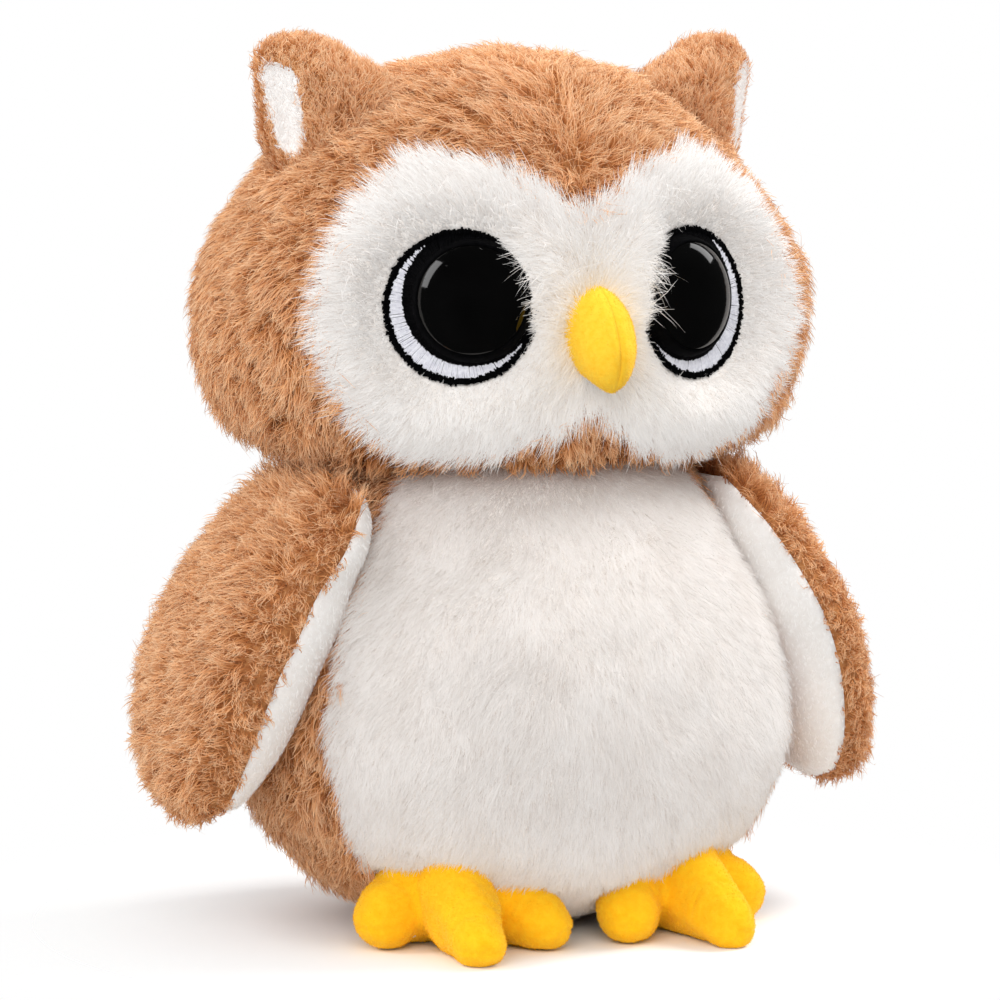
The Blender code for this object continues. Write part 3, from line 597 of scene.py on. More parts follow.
BROWN_LIFT, WHITE_LIFT = 0.0028, 0.0042
LEVELS_HEAD, AROUND_HEAD = 150, 288
head_skin = Grid(round_form(HEAD, LEVELS_HEAD, AROUND_HEAD, [(0.1493, 0.001, 0.001, 0.001, 2), (0.2702, 0.0006, 0.0006, 0.0006, 2)]))
lift = np.where(face_share(head_skin.p), WHITE_LIFT, BROWN_LIFT)
ground = head_skin.p + head_skin.n * lift[..., None]
for s, _ in SIDES:
    e, r = eye_place(ground, s)
    c, ex, ey, en = eye_axes(s)
    want = np.where(r < 0.0236, -0.0004, 0.0007)
    share = 1 - smooth(r, 0.0245, 0.0360)
    share = np.where((ground[..., 1] < 0) & (e[..., 2] > -0.03), share, 0)
    ground = ground + en * ((want - e[..., 2]) * share)[..., None]
head_ground = Grid(ground, centre=(0, Y0, 0.2))

body_skin = Grid(round_form(BODY, 130, 256, [(0.0, 0.001, 0.001, 0.001, 2), (0.1496, 0.002, 0.002, 0.002, 2)]))


def belly_share(p):
    half = BELLY_HALF - math.radians(1.0) * smooth(p[..., 2], 0.075, 0.120)
    return (np.abs(np.arctan2(p[..., 0], -(p[..., 1] - Y0))) < half) & (p[..., 2] > 0.003)


body_lift = np.where(belly_share(body_skin.p), WHITE_LIFT, BROWN_LIFT)
body_lift = body_lift * smooth(body_skin.p[..., 2], 0.0, 0.012) * (1 - 0.6 * smooth(body_skin.p[..., 2], 0.138, 0.148))
body_ground = Grid(body_skin.p + body_skin.n * body_lift[..., None], centre=(0, Y0 - 0.01, 0.07))

CHIN_W, CHIN_TOP = 0.030, 0.168


def chin_share(p):
    return (np.abs(p[..., 0]) < CHIN_W) & (p[..., 1] - Y0 < -0.016) & (p[..., 2] < CHIN_TOP) & ~face_share(p)


for s, n in SIDES:
    finish(sheet_object("face_skin_" + n, head_ground, lambda p, q, s=s: face_share(p) & (s * p[..., 0] > 0)),
           WHITE_SKIN, "owl", "white_pile", "face_panel_" + n, pad=0.85)
    finish(sheet_object("head_skin_" + n, head_ground, lambda p, q, s=s: ~face_share(p) & ~chin_share(p) & (s * p[..., 0] > 0)),
           BROWN_SKIN, "owl", "brown_pile", "head_panel_" + n, pad=0.85)
    finish(sheet_object("body_skin_" + n, body_ground, lambda p, q, s=s: ~belly_share(p) & (s * p[..., 0] > 0) & (p[..., 2] > 0.0026)),
           BROWN_SKIN, "owl", "brown_pile", "body_back_" + n, pad=0.8)
finish(sheet_object("chin_skin", head_ground, lambda p, q: chin_share(p)), BROWN_SKIN, "owl", "brown_pile", "chin_panel", pad=0.8)
finish(sheet_object("belly_skin", body_ground, lambda p, q: belly_share(p)), WHITE_SKIN, "owl", "white_pile", "belly_panel", pad=0.8)


# ---------------------------------------------------------------- head and body pile
PARTING = np.array([0.0, -0.064 + Y0, 0.2240])
def toes(s):
    """Each toe as its tip, its heel, the tip's radius, and the heel's radius across and upright."""
    for (tx, ty, tr, hx, hy, across, upright), tip, heel in zip(TOES, (0.0016, 0.0004, 0.0010), (0.0026, 0.0024, 0.0022)):
        yield np.array([s * tx, ty + Y0, tr - TOE_SINK + tip]), np.array([s * hx, hy + Y0, upright - TOE_SINK + heel]), tr, across, upright + heel


def toe_field(p, s):
    """Signed distance to the three toes, softly joined."""
    best = None
    for a, b, tr, across, upright in toes(s):
        axis = unit(a - b)
        a = a - axis * tr * 0.30
        ab = b - a
        t = np.clip(((p - a) @ ab) / (ab @ ab), 0, 1)
        rad = (tr + (across - tr) * t) * (1 - 0.030 * np.exp(-(((t - 0.35) / 0.16) ** 2)))
        q = p - a - t[..., None] * ab
        q = q - axis * (0.23 * np.maximum((p - a) @ axis, 0))[..., None]
        q[..., 2] *= rad / (tr + (upright - tr) * t)
        d = np.linalg.norm(q, axis=-1) - rad
        if best is None:
            best = d
        else:
            k = 0.0026
            h = np.clip(0.5 + 0.5 * (d - best) / k, 0, 1)
            best = d * (1 - h) + best * h - k * h * (1 - h)
    return best


NOSE = np.array([0.0, -0.075 + Y0, 0.190])


def down(p, amount):
    g = np.zeros_like(p)
    g[..., 2] = -1
    return g * np.asarray(amount)[..., None]


def head_flow(p):
    """Brown pile runs back from the face, sinks towards the cheeks and hangs at the back."""
    z, y = p[..., 2], p[..., 1] - Y0
    away = unit(p - PARTING)
    low = 1 - smooth(z, 0.150, 0.245)
    back = smooth(y, -0.02, 0.06)
    flow = away + down(p, 0.15 + 1.15 * low + 0.7 * back)
    fan = smooth(z, 0.205, 0.235) * (1 - smooth(y, -0.055, 0.0))
    flow[..., 0] += np.tanh(p[..., 0] / 0.006) * 0.75 * fan
    return flow


def clear_of_ears(p):
    out = np.ones(p.shape[:-1], bool)
    t = np.array(EAR)
    z = p[..., 2]
    cx, cy, rx, ry = (np.interp(z, t[:, 0], t[:, k]) for k in range(1, 5))
    for s, _ in SIDES:
        dx, dy = s * p[..., 0] - cx, p[..., 1] - Y0 - cy
        u, w = dx * math.cos(EAR_TURN) + dy * math.sin(EAR_TURN), dy * math.cos(EAR_TURN) - dx * math.sin(EAR_TURN)
        out &= ((u / (rx + 0.001)) ** 2 + (w / (ry + 0.001)) ** 2 > 1) | (z < 0.232)
    return out


def cut(keep, *arrays):
    return [a[keep] for a in arrays]


def brown_head():
    hairs = Hairs(11)
    r = hairs.rng

    def weight(p, n):
        w = np.where(face_share(p), 0.0, 1.0)
        w = w * np.where(n[..., 2] < -0.75, 0.35, 1.0)
        return w * (1 - 0.25 * smooth(p[..., 1], 0.02, 0.05))

    share = head_ground.area(weight) * 1e6
    count = int(share * 2.1 / 14)
    p, n, _, _ = head_ground.sample(count, r, weight)
    wide = waves(p, 0.006, 5) * 0.0012
    q = p.copy()
    q[:, 2] += wide
    keep = ~face_share(q) & clear_of_ears(p)
    p, n = cut(keep, p, n)
    flow = unit(head_flow(p))
    tilt = waves(p, 0.022, 21)[:, None] * 0.22 + waves(p, 0.008, 22)[:, None] * 0.18
    flow = flow + np.cross(n, flow) * tilt
    edge = face_edge(p)
    near = np.where(p[:, 1] - Y0 < -0.010, 1 - smooth(edge, 0.002, 0.012), 0)
    near = near * np.maximum(0.15, np.maximum(smooth(p[:, 2], 0.216, 0.232), 1 - smooth(p[:, 2], 0.158, 0.172)))
    h = 0.0050 * (1 - 0.20 * near) * (1 + 0.08 * waves(p, 0.014, 23)) * (1 - 0.22 * smooth(n[:, 2], 0.35, 0.85))
    side = smooth(np.abs(n[:, 0]), 0.55, 0.9) * smooth(p[:, 2], 0.180, 0.200)
    h = h * (1 - 0.10 * side * (p[:, 0] < 0) + 0.10 * side * (p[:, 0] > 0))
    under = smooth(-n[:, 2], 0.55, 0.9) * (1 - 0.7 * smooth(np.abs(p[:, 0]), 0.030, 0.046))
    h = h * (1 + 0.25 * smooth(-n[:, 2], 0.15, 0.6) - 0.10 * under)
    l = 0.0064 * (1 + 0.18 * waves(p, 0.018, 24)) * (1 - 0.5 * under) * (1 - 0.4 * near)
    curly = np.exp(-((np.linalg.norm(p - PARTING, axis=-1) / 0.016) ** 2))
    tone = np.clip(0.5 + 0.16 * waves(p, 0.012, 25) + r.normal(0, 0.13, len(p)), 0.02, 0.98)
    calm = curly < 0.35
    for part, wander, curl in ((calm, 0.26, 0.0010), (~calm, 0.8, 0.0014)):
        hairs.grow(*cut(part, p, n, flow, h, l), per=14, radius=0.0026, gather=0.86, width=0.00033, curl=curl, wander=wander, tone=tone[part], rogue=0.13)
    hairs.objects("head_pile", BROWN_HAIR, "owl", "brown_pile", airy=0.5)


def white_face():
    hairs = Hairs(12)
    r = hairs.rng

    def weight(p, n):
        q = p.copy()
        q[..., 2] += waves(p, 0.005, 31) * 0.0009
        w = np.where(face_share(q), 1.0, 0.0)
        return np.where(eye_gap(p) < 0.0239, 0.0, w)

    share = head_ground.area(weight) * 1e6
    count = int(share * 6.0 / 10)
    p, n, _, _ = head_ground.sample(count, r, weight)
    keep = eye_gap(p) > 0.0239
    p, n = cut(keep, p, n)
    flow = unit(p - NOSE)
    gaps, hugs = [], []
    for s, _ in SIDES:
        e, gap = eye_place(p, s)
        c, ex, ey, en = eye_axes(s)
        away = unit(e[:, :1] * ex + e[:, 1:2] * ey)
        toward_nose = np.clip(-(e[:, 0] * s) / np.maximum(gap, 1e-6), 0, 1)
        hug = smooth(toward_nose, 0.45, 0.75) * smooth(e[:, 1] / np.maximum(gap, 1e-6), -0.40, 0.0) * (1 - smooth(gap, 0.032, 0.036)) * (np.sign(p[:, 0]) == s)
        close = (1 - smooth(gap, 0.026, 0.040)) * (1 - smooth(toward_nose, 0.2, 0.7))
        flow = flow + away * (close * 2.2 - hug * 1.0)[:, None]
        gaps.append(gap)
        hugs.append(hug)
    gap, hug = np.minimum(*gaps), np.maximum(*hugs)
    bridge = np.exp(-((p[:, 0] / 0.011) ** 2)) * smooth(p[:, 2], 0.186, 0.200)
    flow = unit(flow) + down(p, 0.12 + 0.35 * smooth(-p[:, 2], -0.180, -0.155))
    flow[:, 0] += np.tanh(p[:, 0] / 0.004) * 0.35 * bridge
    tilt = waves(p, 0.020, 32)[:, None] * 0.14
    flow = flow + np.cross(n, flow) * tilt
    ring = np.maximum(smooth(gap, 0.0245, 0.0375), 0.72 * hug)
    inner = bridge > 0.12
    h = 0.0015 + 0.0036 * np.where(inner, np.maximum(ring, 0.75), ring)
    h = h * (1 + 0.05 * waves(p, 0.014, 33))
    edge = 1 - smooth(face_edge(p), 0.001, 0.009)
    l = (0.0024 + 0.0042 * ring) * (1 + 0.12 * edge)
    tone = np.clip(0.72 + 0.14 * waves(p, 0.016, 34) + 0.08 * waves(p, 0.005, 35) + r.normal(0, 0.08, len(p)), 0.02, 0.98)
    hairs.grow(p, n, flow, h, l, per=10, radius=0.0020, gather=0.30, width=0.00021, curl=0.0005, wander=0.14, rogue=0.05, tone=tone, vary=0.08,
               twist=14, turned=0.04)
    hairs.objects("face_pile", WHITE_HAIR, "owl", "white_pile", most=6500, airy=0.90)

    wisps = Hairs(15)
    r = wisps.rng
    for s, _ in SIDES:
        c, ex, ey, en = eye_axes(s)

        def beside(p, n, s=s):
            e, gap = eye_place(p, s)
            side = np.clip(-(e[..., 0] * s) / np.maximum(gap, 1e-6), 0, 1)
            return smooth(side, 0.50, 0.80) * smooth(e[..., 1], -0.004, 0.003) * (1 - smooth(e[..., 1], 0.015, 0.019)) * (gap > 0.0241) * (gap < 0.0290) * (p[..., 1] - Y0 < -0.03) * (s * p[..., 0] > 0)

        count = int(head_ground.area(beside) * 1e6 * 4.2 / 4)
        p, n, _, _ = head_ground.sample(count, r, beside)
        e, gap = eye_place(p, s)
        toward = -unit(e[:, :1] * ex + e[:, 1:2] * ey) + ey * r.normal(0, 0.30, len(p))[:, None]
        size = r.uniform(0.5, 1.5, len(p))
        wisps.grow(p, unit(n * 0.6 + en), toward, 0.0052 * size, (0.0120 if s < 0 else 0.0090) * size, per=4, radius=0.0012, gather=0.25, width=0.00019, curl=0.0010,
                   wander=0.30, rogue=0.10, tone=np.full(len(p), 0.7), bend=1.9)
    wisps.objects("face_wisps", WHITE_HAIR, "owl", "white_pile", airy=1.0)


def body_pile():
    brown, white = Hairs(13), Hairs(14)

    def low_edge(p, n):
        return np.where(p[..., 2] < 0.005, 0.0, 1.0) * np.where(n[..., 2] < -0.85, 0.3, 1.0) * np.where(p[..., 2] > 0.1485, 0.0, 1.0)

    def weight_brown(p, n):
        q = p.copy()
        q[..., 0] += np.sign(p[..., 0]) * waves(p, 0.006, 41) * 0.0010
        side = smooth(np.abs(p[..., 0]), 0.045, 0.07) * smooth(p[..., 2], 0.045, 0.07) * (1 - smooth(np.abs(p[..., 1] - Y0), 0.03, 0.05))
        return np.where(belly_share(q), 0.0, 1.0) * low_edge(p, n) * (1 - 0.45 * side) * (1 - 0.2 * smooth(p[..., 1], 0.02, 0.05))

    r = brown.rng
    count = int(body_ground.area(weight_brown) * 1e6 * 1.8 / 14)
    p, n, _, _ = body_ground.sample(count, r, weight_brown)
    flow = unit(np.stack([p[:, 0] * 3, (p[:, 1] - Y0) * 3 + 0.25, np.full(len(p), -1.0)], -1))
    flow = flow + np.cross(n, flow) * (waves(p, 0.020, 42)[:, None] * 0.28 + waves(p, 0.009, 43)[:, None] * 0.2)
    top = smooth(p[:, 2], 0.126, 0.146)
    wing = smooth(np.abs(p[:, 0]), 0.045, 0.062) * smooth(p[:, 2], 0.040, 0.060) * (1 - smooth(p[:, 1] - Y0, 0.030, 0.045)) * smooth(p[:, 1] - Y0, -0.062, -0.048)
    h = 0.0050 * (1 - 0.20 * top) * (1 - 0.50 * wing) * (1 + 0.09 * waves(p, 0.014, 44)) * (0.55 + 0.45 * smooth(p[:, 2], 0.004, 0.020))
    l = 0.0064 * (1 + 0.15 * waves(p, 0.018, 45))
    tone = np.clip(0.5 + 0.16 * waves(p, 0.012, 46) + r.normal(0, 0.13, len(p)), 0.02, 0.98)
    brown.grow(p, n, flow, h, l, per=14, radius=0.0026, gather=0.86, width=0.00033, curl=0.0010, wander=0.28, tone=tone, rogue=0.13)
    brown.objects("body_pile", BROWN_HAIR, "owl", "brown_pile", airy=0.5)

    def weight_white(p, n):
        q = p.copy()
        q[..., 0] += np.sign(p[..., 0]) * waves(p, 0.005, 51) * 0.0008
        return np.where(belly_share(q), 1.0, 0.0) * low_edge(p, n) * np.where(p[..., 2] < 0.0095, 0.0, 1.0)

    r = white.rng
    count = int(body_ground.area(weight_white) * 1e6 * 5.0 / 10)
    p, n, _, _ = body_ground.sample(count, r, weight_white)
    flow = unit(np.stack([p[:, 0] * 11, np.zeros(len(p)), np.full(len(p), -1.0)], -1))
    flow = flow + np.cross(n, flow) * (waves(p, 0.030, 52)[:, None] * 0.16)
    top = smooth(p[:, 2], 0.126, 0.146)
    h = 0.0040 * (1 - 0.4 * top) * (1 + 0.05 * waves(p, 0.016, 53)) * (0.6 + 0.4 * smooth(p[:, 2], 0.008, 0.024))
    l = 0.0064 * (1 + 0.10 * waves(p, 0.02, 54)) * (0.65 + 0.35 * smooth(p[:, 2], 0.008, 0.020))
    clear = smooth(np.minimum(toe_field(p, 1), toe_field(p, -1)), 0.0005, 0.0060)
    h, l = h * (0.45 + 0.55 * clear), l * (0.40 + 0.60 * clear)
    streak = waves(p * np.array([1.0, 1.0, 0.35]), 0.009, 56)
    tone = np.clip(0.6 + 0.12 * waves(p, 0.018, 55) + 0.10 * streak + r.normal(0, 0.08, len(p)), 0.02, 0.98)
    white.grow(p, n, flow, h, l, per=10, radius=0.0022, gather=0.30, width=0.00022, curl=0.0005, wander=0.12, rogue=0.05, tone=tone, vary=0.08,
               twist=14, turned=0.04)
    # the belly's hairs take the darker copy of the white pile, painted shade
    white.objects("belly_pile", SHADED_BELLY_HAIR, "owl", "white_pile", most=13000, airy=0.90)


brown_head()
white_face()
body_pile()


# ---------------------------------------------------------------- wings
def wing_grid(s, side, grow, end=0.0, power=0.8, steps=64, levels=90):
    """Outer (side 1) or inner (side -1) face of a wing, from its front edge round to its back edge."""
    rows = [list(r) for r in WING]
    top, low = list(rows[0]), list(rows[-1])
    top[0] += 0.0018
    low[0] -= 0.0016
    for r, k in ((top, 0.8), (low, 0.45)):
        r[7] = 0.0
        my, mx = (r[2] + r[4]) / 2, (r[1] + r[3]) / 2
        r[2], r[4] = my + (r[2] - my) * k, my + (r[4] - my) * k
        r[5], r[6] = 0.0004, 0.0004
    t = dense([top] + rows + [low], levels)
    z, fx, fy, bx, by, out, inn, swell = (t[:, k:k + 1] for k in range(8))
    a = np.linspace(0, PI, steps)[None]
    mx, my = (fx + bx) / 2, (fy + by) / 2
    dx, dy = bx - fx, by - fy
    long = np.hypot(dx, dy)
    dx, dy = dx / long, dy / long
    h = long / 2 + end
    bulge = (np.maximum(out if side > 0 else inn, 0.0) + grow) * np.sin(a) ** power
    if side < 0:
        bulge = bulge + np.maximum(swell, 0) * 1.05 * np.exp(-(((a - 0.75) / 0.55) ** 2)) * np.sqrt(np.maximum(np.sin(a), 0))
        bulge = bulge + 0.0024 * smooth(z, 0.045, 0.085) * (1 - smooth(z, 0.130, 0.1385)) * np.exp(-(((a - 0.40) / 0.35) ** 2)) * np.sqrt(np.maximum(np.sin(a), 0))
    x = mx - dx * h * np.cos(a) + dy * side * bulge
    y = my - dy * h * np.cos(a) - dx * side * bulge
    y = y - (0.0058 if s < 0 else 0.0) * smooth(z, 0.102, 0.124) * (1 - smooth(z, 0.134, 0.141)) * np.exp(-((a / 0.9) ** 2))
    return Grid(np.stack([s * x, y + Y0, np.broadcast_to(z, x.shape)], -1), wrap=False, centre=(s * (0.090 - side * 0.06), Y0, 0.09))


def wing_pile(s, n):
    outer = wing_grid(s, 1, 0.0026, end=0.0012)
    lining = wing_grid(s, -1, 0.0022, end=0.0014, power=0.50)
    finish(sheet_object("wing_skin_" + n, outer, thick=0.0012), BROWN_SKIN, "wing_" + n, "brown_pile", "wing_outer_" + n, pad=0.6)
    finish(sheet_object("wing_inside_" + n, lining, thick=0.0010), PLUSH, "wing_" + n, "white_short_pile", "wing_lining_" + n, pad=0.6)
    hairs = Hairs(20 + s)
    r = hairs.rng
    count = int(outer.area() * 1e6 * 2.3 / 14)
    p, nn, v, u = outer.sample(count, r)
    edge = np.sin(u * PI)
    front = 1 - smooth((1 - np.cos(u * PI)) / 2, 0.0, 0.16)
    flow = np.stack([np.zeros(len(p)), np.full(len(p), 0.85), np.full(len(p), -0.55)], -1)
    flow = unit(flow) + np.cross(nn, flow) * (waves(p, 0.022, 61)[:, None] * 0.22 + waves(p, 0.008, 62)[:, None] * (0.2 + 0.9 * front[:, None]))
    flow[:, 2] += 0.6 * smooth(p[:, 2], 0.118, 0.136)
    flow[:, 1] -= 0.8 * front
    low = 1 - smooth(p[:, 2], 0.043, 0.062)
    top = smooth(p[:, 2], 0.124, 0.136)
    h = 0.0057 * (1 - 0.55 * front * (1 - 0.75 * top)) * (1 + 0.09 * waves(p, 0.013, 63)) * (1 + 0.40 * smooth(p[:, 2], 0.122, 0.138)) * (1 - 0.20 * low)
    l = 0.0066 * (1 - 0.65 * front * (1 - 0.75 * top)) * (1 - 0.55 * low)
    if s > 0:
        flat = smooth(p[:, 2], 0.048, 0.060) * (1 - smooth(p[:, 2], 0.112, 0.128))
        h, l = h * (1 - 0.25 * flat), l * (1 - 0.15 * flat)
    tone = np.clip(0.44 + 0.16 * waves(p, 0.011, 64) + r.normal(0, 0.13, len(p)) - 0.12 * front, 0.02, 0.98)
    hairs.grow(p, nn, flow, h, l, per=14, radius=0.0026, gather=0.86, width=0.00033, curl=0.0010, wander=0.28, tone=tone, rogue=0.13)
    hairs.objects("wing_pile_" + n, BROWN_HAIR, "wing_" + n, "brown_pile", most=15000, airy=0.5)

    fuzz = Hairs(24 + s)
    r = fuzz.rng
    count = int(lining.area() * 1e6 * 2.0 / 4)
    p, nn, v, u = lining.sample(count, r)
    flow = unit(r.normal(size=p.shape) * 0.3 + np.array([0, 0, -1.0]))
    fuzz.grow(p, nn, flow, np.full(len(p), 0.00055), np.full(len(p), 0.0010), per=4, radius=0.0006, gather=0.10, width=0.00014, curl=0.0002,
              wander=0.4, rogue=0.05, root=0.0002)
    fuzz.objects("wing_lining_pile_" + n, SHORT_HAIR, "wing_" + n, "white_short_pile", airy=1.0)


for s, n in SIDES:
    wing_pile(s, n)


# ---------------------------------------------------------------- ears
def ear(s, n):
    t = dense(EAR + [(0.2790, 0.0692, -0.0080, 0.0012, 0.0009)], 90)
    a = 2 * PI * np.arange(140)[None] / 140
    z, cx, cy, rx, ry = (t[:, k:k + 1] for k in range(5))
    rx, ry = np.maximum(rx, 1e-4), np.maximum(ry, 1e-4)
    u, v = rx * np.cos(a), ry * np.sin(a)
    u = np.where(u > 0, u * (1 - 0.08 * (1 - smooth(z, 0.230, 0.246))), u)
    u = np.where(u < 0, u * (1 - 0.34 * smooth(z, 0.258, 0.276)), u)
    z = np.where(z > 0.250, 0.250 + (z - 0.250) * 0.93, z)
    x = cx + u * math.cos(EAR_TURN) - v * math.sin(EAR_TURN)
    y = cy + u * math.sin(EAR_TURN) + v * math.cos(EAR_TURN)
    skin = Grid(np.stack([s * x, y + Y0, np.broadcast_to(z, x.shape)], -1))
    level = np.array([s * math.sin(EAR_PANEL_YAW), -math.cos(EAR_PANEL_YAW), 0.0])
    normal = level * math.cos(EAR_PANEL_TIP) - np.array([0, 0, math.sin(EAR_PANEL_TIP)])
    across = np.array([-level[1], level[0], 0.0])
    at = np.array([s * EAR_PANEL_AT[0], EAR_PANEL_AT[1] + Y0, EAR_PANEL_AT[2]])
    p = skin.p + skin.n * 0.0012
    d = (p - at) @ normal
    w = (p - at) @ across
    white = d > 0.0011
    low = np.where(white, w, 1.0).min(1, keepdims=True)
    high = np.where(white, w, -1.0).max(1, keepdims=True)
    half, mid = np.maximum(high - low, 1e-4) / 2, (high + low) / 2
    dish = np.clip(1 - np.abs(w - mid) / half, 0, 1) * np.where(white, 1, 0) * smooth(half, 0.0010, 0.0040)
    p = p - normal * (np.where(white, (d - 0.0011) * 0.85, 0) + 0.0026 * dish)[..., None]
    form = Grid(p, centre=None)
    ring = np.concatenate([white, white[:, :1]], 1)
    cells = (ring[:-1, :-1].astype(int) + ring[:-1, 1:] + ring[1:, 1:] + ring[1:, :-1]) >= 2
    q = (form.p[:-1] + form.p[1:]) / 2
    shown = ~inside_form(q, HEAD, 0.0005)

    finish(sheet_object("ear_skin_" + n, form, ~cells & shown, thick=0.001), BROWN_SKIN, "owl", "brown_pile", "ear_outer_" + n, pad=0.6)
    finish(sheet_object("ear_inside_" + n, form, cells & shown, thick=0.001), PLUSH, "owl", "white_short_pile", "ear_inner_" + n, pad=0.6)
    hairs = Hairs(30 + s)
    r = hairs.rng

    def brown(q, m):
        return np.where(cells, 0.0, 1.0) * shown

    count = int(form.area(brown) * 1e6 * 4.4 / 9)
    q, m, _, _ = form.sample(count, r, brown)
    d = 0.0011 - ((q - at) @ normal)
    rim = 1 - smooth(d, 0.0, 0.0045)
    top = smooth(q[:, 2], 0.264, 0.277)
    flow = np.stack([-s * np.full(len(q), 0.10), np.full(len(q), 0.12), np.full(len(q), 1.0)], -1)
    flow = flow + np.cross(m, flow) * (waves(q, 0.012, 71)[:, None] * 0.35)
    flow = flow - across * (0.35 * rim * np.sign((q - at) @ across))[:, None]
    # Hairs close to the head's surface are painted darker: painted shade in the crevice where the ear meets the head.
    crevice_shade = sum(np.where(inside_form(q, HEAD, off), 1.0, 0.0) for off in (0.006, 0.009, 0.012, 0.016)) / 4
    out = smooth(np.abs(q[:, 0]), 0.071, 0.078) * (1 - smooth(q[:, 2], 0.262, 0.272))
    h = 0.0038 * (1 - 0.55 * rim) * (1 - 0.15 * top) * (1 + 0.1 * waves(q, 0.010, 72)) * (1 - 0.32 * out)
    l = 0.0040 * (1 - 0.35 * rim) * (1 - 0.45 * top) * (1 - 0.30 * out)
    tone = np.clip(0.72 + 0.15 * waves(q, 0.010, 73) + 0.15 * rim - 0.62 * crevice_shade * (1 - rim) + r.normal(0, 0.12, len(q)), 0.02, 0.98)
    hairs.grow(q, m, flow, h, l, per=9, radius=0.0017, gather=0.74, width=0.00033, curl=0.0009, wander=0.30, tone=tone)
    hairs.objects("ear_pile_" + n, BROWN_HAIR, "owl", "brown_pile", most=5000, airy=0.67)

    fuzz = Hairs(34 + s)
    r = fuzz.rng

    def inner(q, m):
        return np.where(cells, 1.0, 0.0) * shown

    count = int(form.area(inner) * 1e6 * 7.0 / 4)
    q, m, _, _ = form.sample(count, r, inner)
    flow = unit(r.normal(size=q.shape) * 0.25 + np.array([0, 0, 1.0]))
    fuzz.grow(q, m, flow, np.full(len(q), 0.0012), np.full(len(q), 0.0018), per=4, radius=0.0006, gather=0.2, width=0.00020, curl=0.0003,
              wander=0.4, rogue=0.08, root=0.0002)
    fuzz.objects("ear_inside_pile_" + n, SHORT_HAIR, "owl", "white_short_pile", airy=1.0)


for s, n in SIDES:
    ear(s, n)


# ---------------------------------------------------------------- eyes
def polar_object(name, s, profile, shift=(0, 0), segs=128, spin=None):
    """Turned piece in an eye's own frame from a profile of radius and height."""
    c, ex, ey, en = eye_axes(s)
    c = c + ex * (s * shift[0]) + ey * shift[1]
    a = 2 * PI * np.arange(segs)[None] / segs
    prof = np.array(profile)
    rr, zz = prof[:, :1], prof[:, 1:]
    p = c + (rr * np.cos(a))[..., None] * ex + (rr * np.sin(a))[..., None] * ey + np.broadcast_to(zz, (len(prof), segs))[..., None] * en
    return Grid(p, centre=tuple(c - en * 0.02))


def stitches(name, s, spans, z, height, count, width, seed, wobble=0.00022, rise=0.0):
    """Satin stitches: thin raised threads, each running from an inner to an outer point of the patch."""
    c, ex, ey, en = eye_axes(s)
    r = np.random.default_rng(seed)
    rows = []
    for k in range(count):
        a = 2 * PI * (k + r.uniform(-0.2, 0.2)) / count
        span = spans(a)
        if span is None:
            continue
        low, high = span
        low, high = low + r.normal(0, wobble), high + r.normal(0, wobble)
        if high - low < 0.0003:
            continue
        a2 = a + r.normal(0, 0.006)
        start = np.array([math.cos(a2) * low, math.sin(a2) * low])
        stop = np.array([math.cos(a) * high, math.sin(a) * high])
        rows.append((start, stop))
    start, stop = (np.array([row[k] for row in rows]) for k in (0, 1))
    m = len(rows)
    run = stop - start
    side = unit(np.stack([-run[:, 1], run[:, 0]], -1))
    steps, arc = np.linspace(0, 1, 5), np.linspace(0, PI, 5)
    lift = z + r.normal(0, height * 0.12, m)
    w = width * r.uniform(0.85, 1.15, m) / 2
    verts = np.empty((m, 5, 5, 3))
    for i, t in enumerate(steps):
        crown = math.sin(PI * min(max(t, 0.04), 0.96)) ** 0.35
        for j, b in enumerate(arc):
            flat = start + run * t + side * (w * math.cos(b))[:, None]
            up = lift + height * math.sin(b) * crown + rise * (1 - t) ** 1.6
            verts[:, i, j] = c + flat[:, :1] * ex + flat[:, 1:] * ey + up[:, None] * en
    index = np.arange(25).reshape(5, 5)
    quads = [[index[i, j], index[i, j + 1], index[i + 1, j + 1], index[i + 1, j]] for i in range(4) for j in range(4)]
    quads = np.array(quads)[None] + (np.arange(m) * 25)[:, None, None]
    quads = quads.reshape(-1, 4)
    flat = verts.reshape(-1, 3)
    if (np.cross(flat[quads[0, 2]] - flat[quads[0, 0]], flat[quads[0, 3]] - flat[quads[0, 1]]) @ en) < 0:
        quads = quads[:, ::-1]
    return mesh_object(name, flat, quads.ravel(), np.arange(len(quads)) * 4)


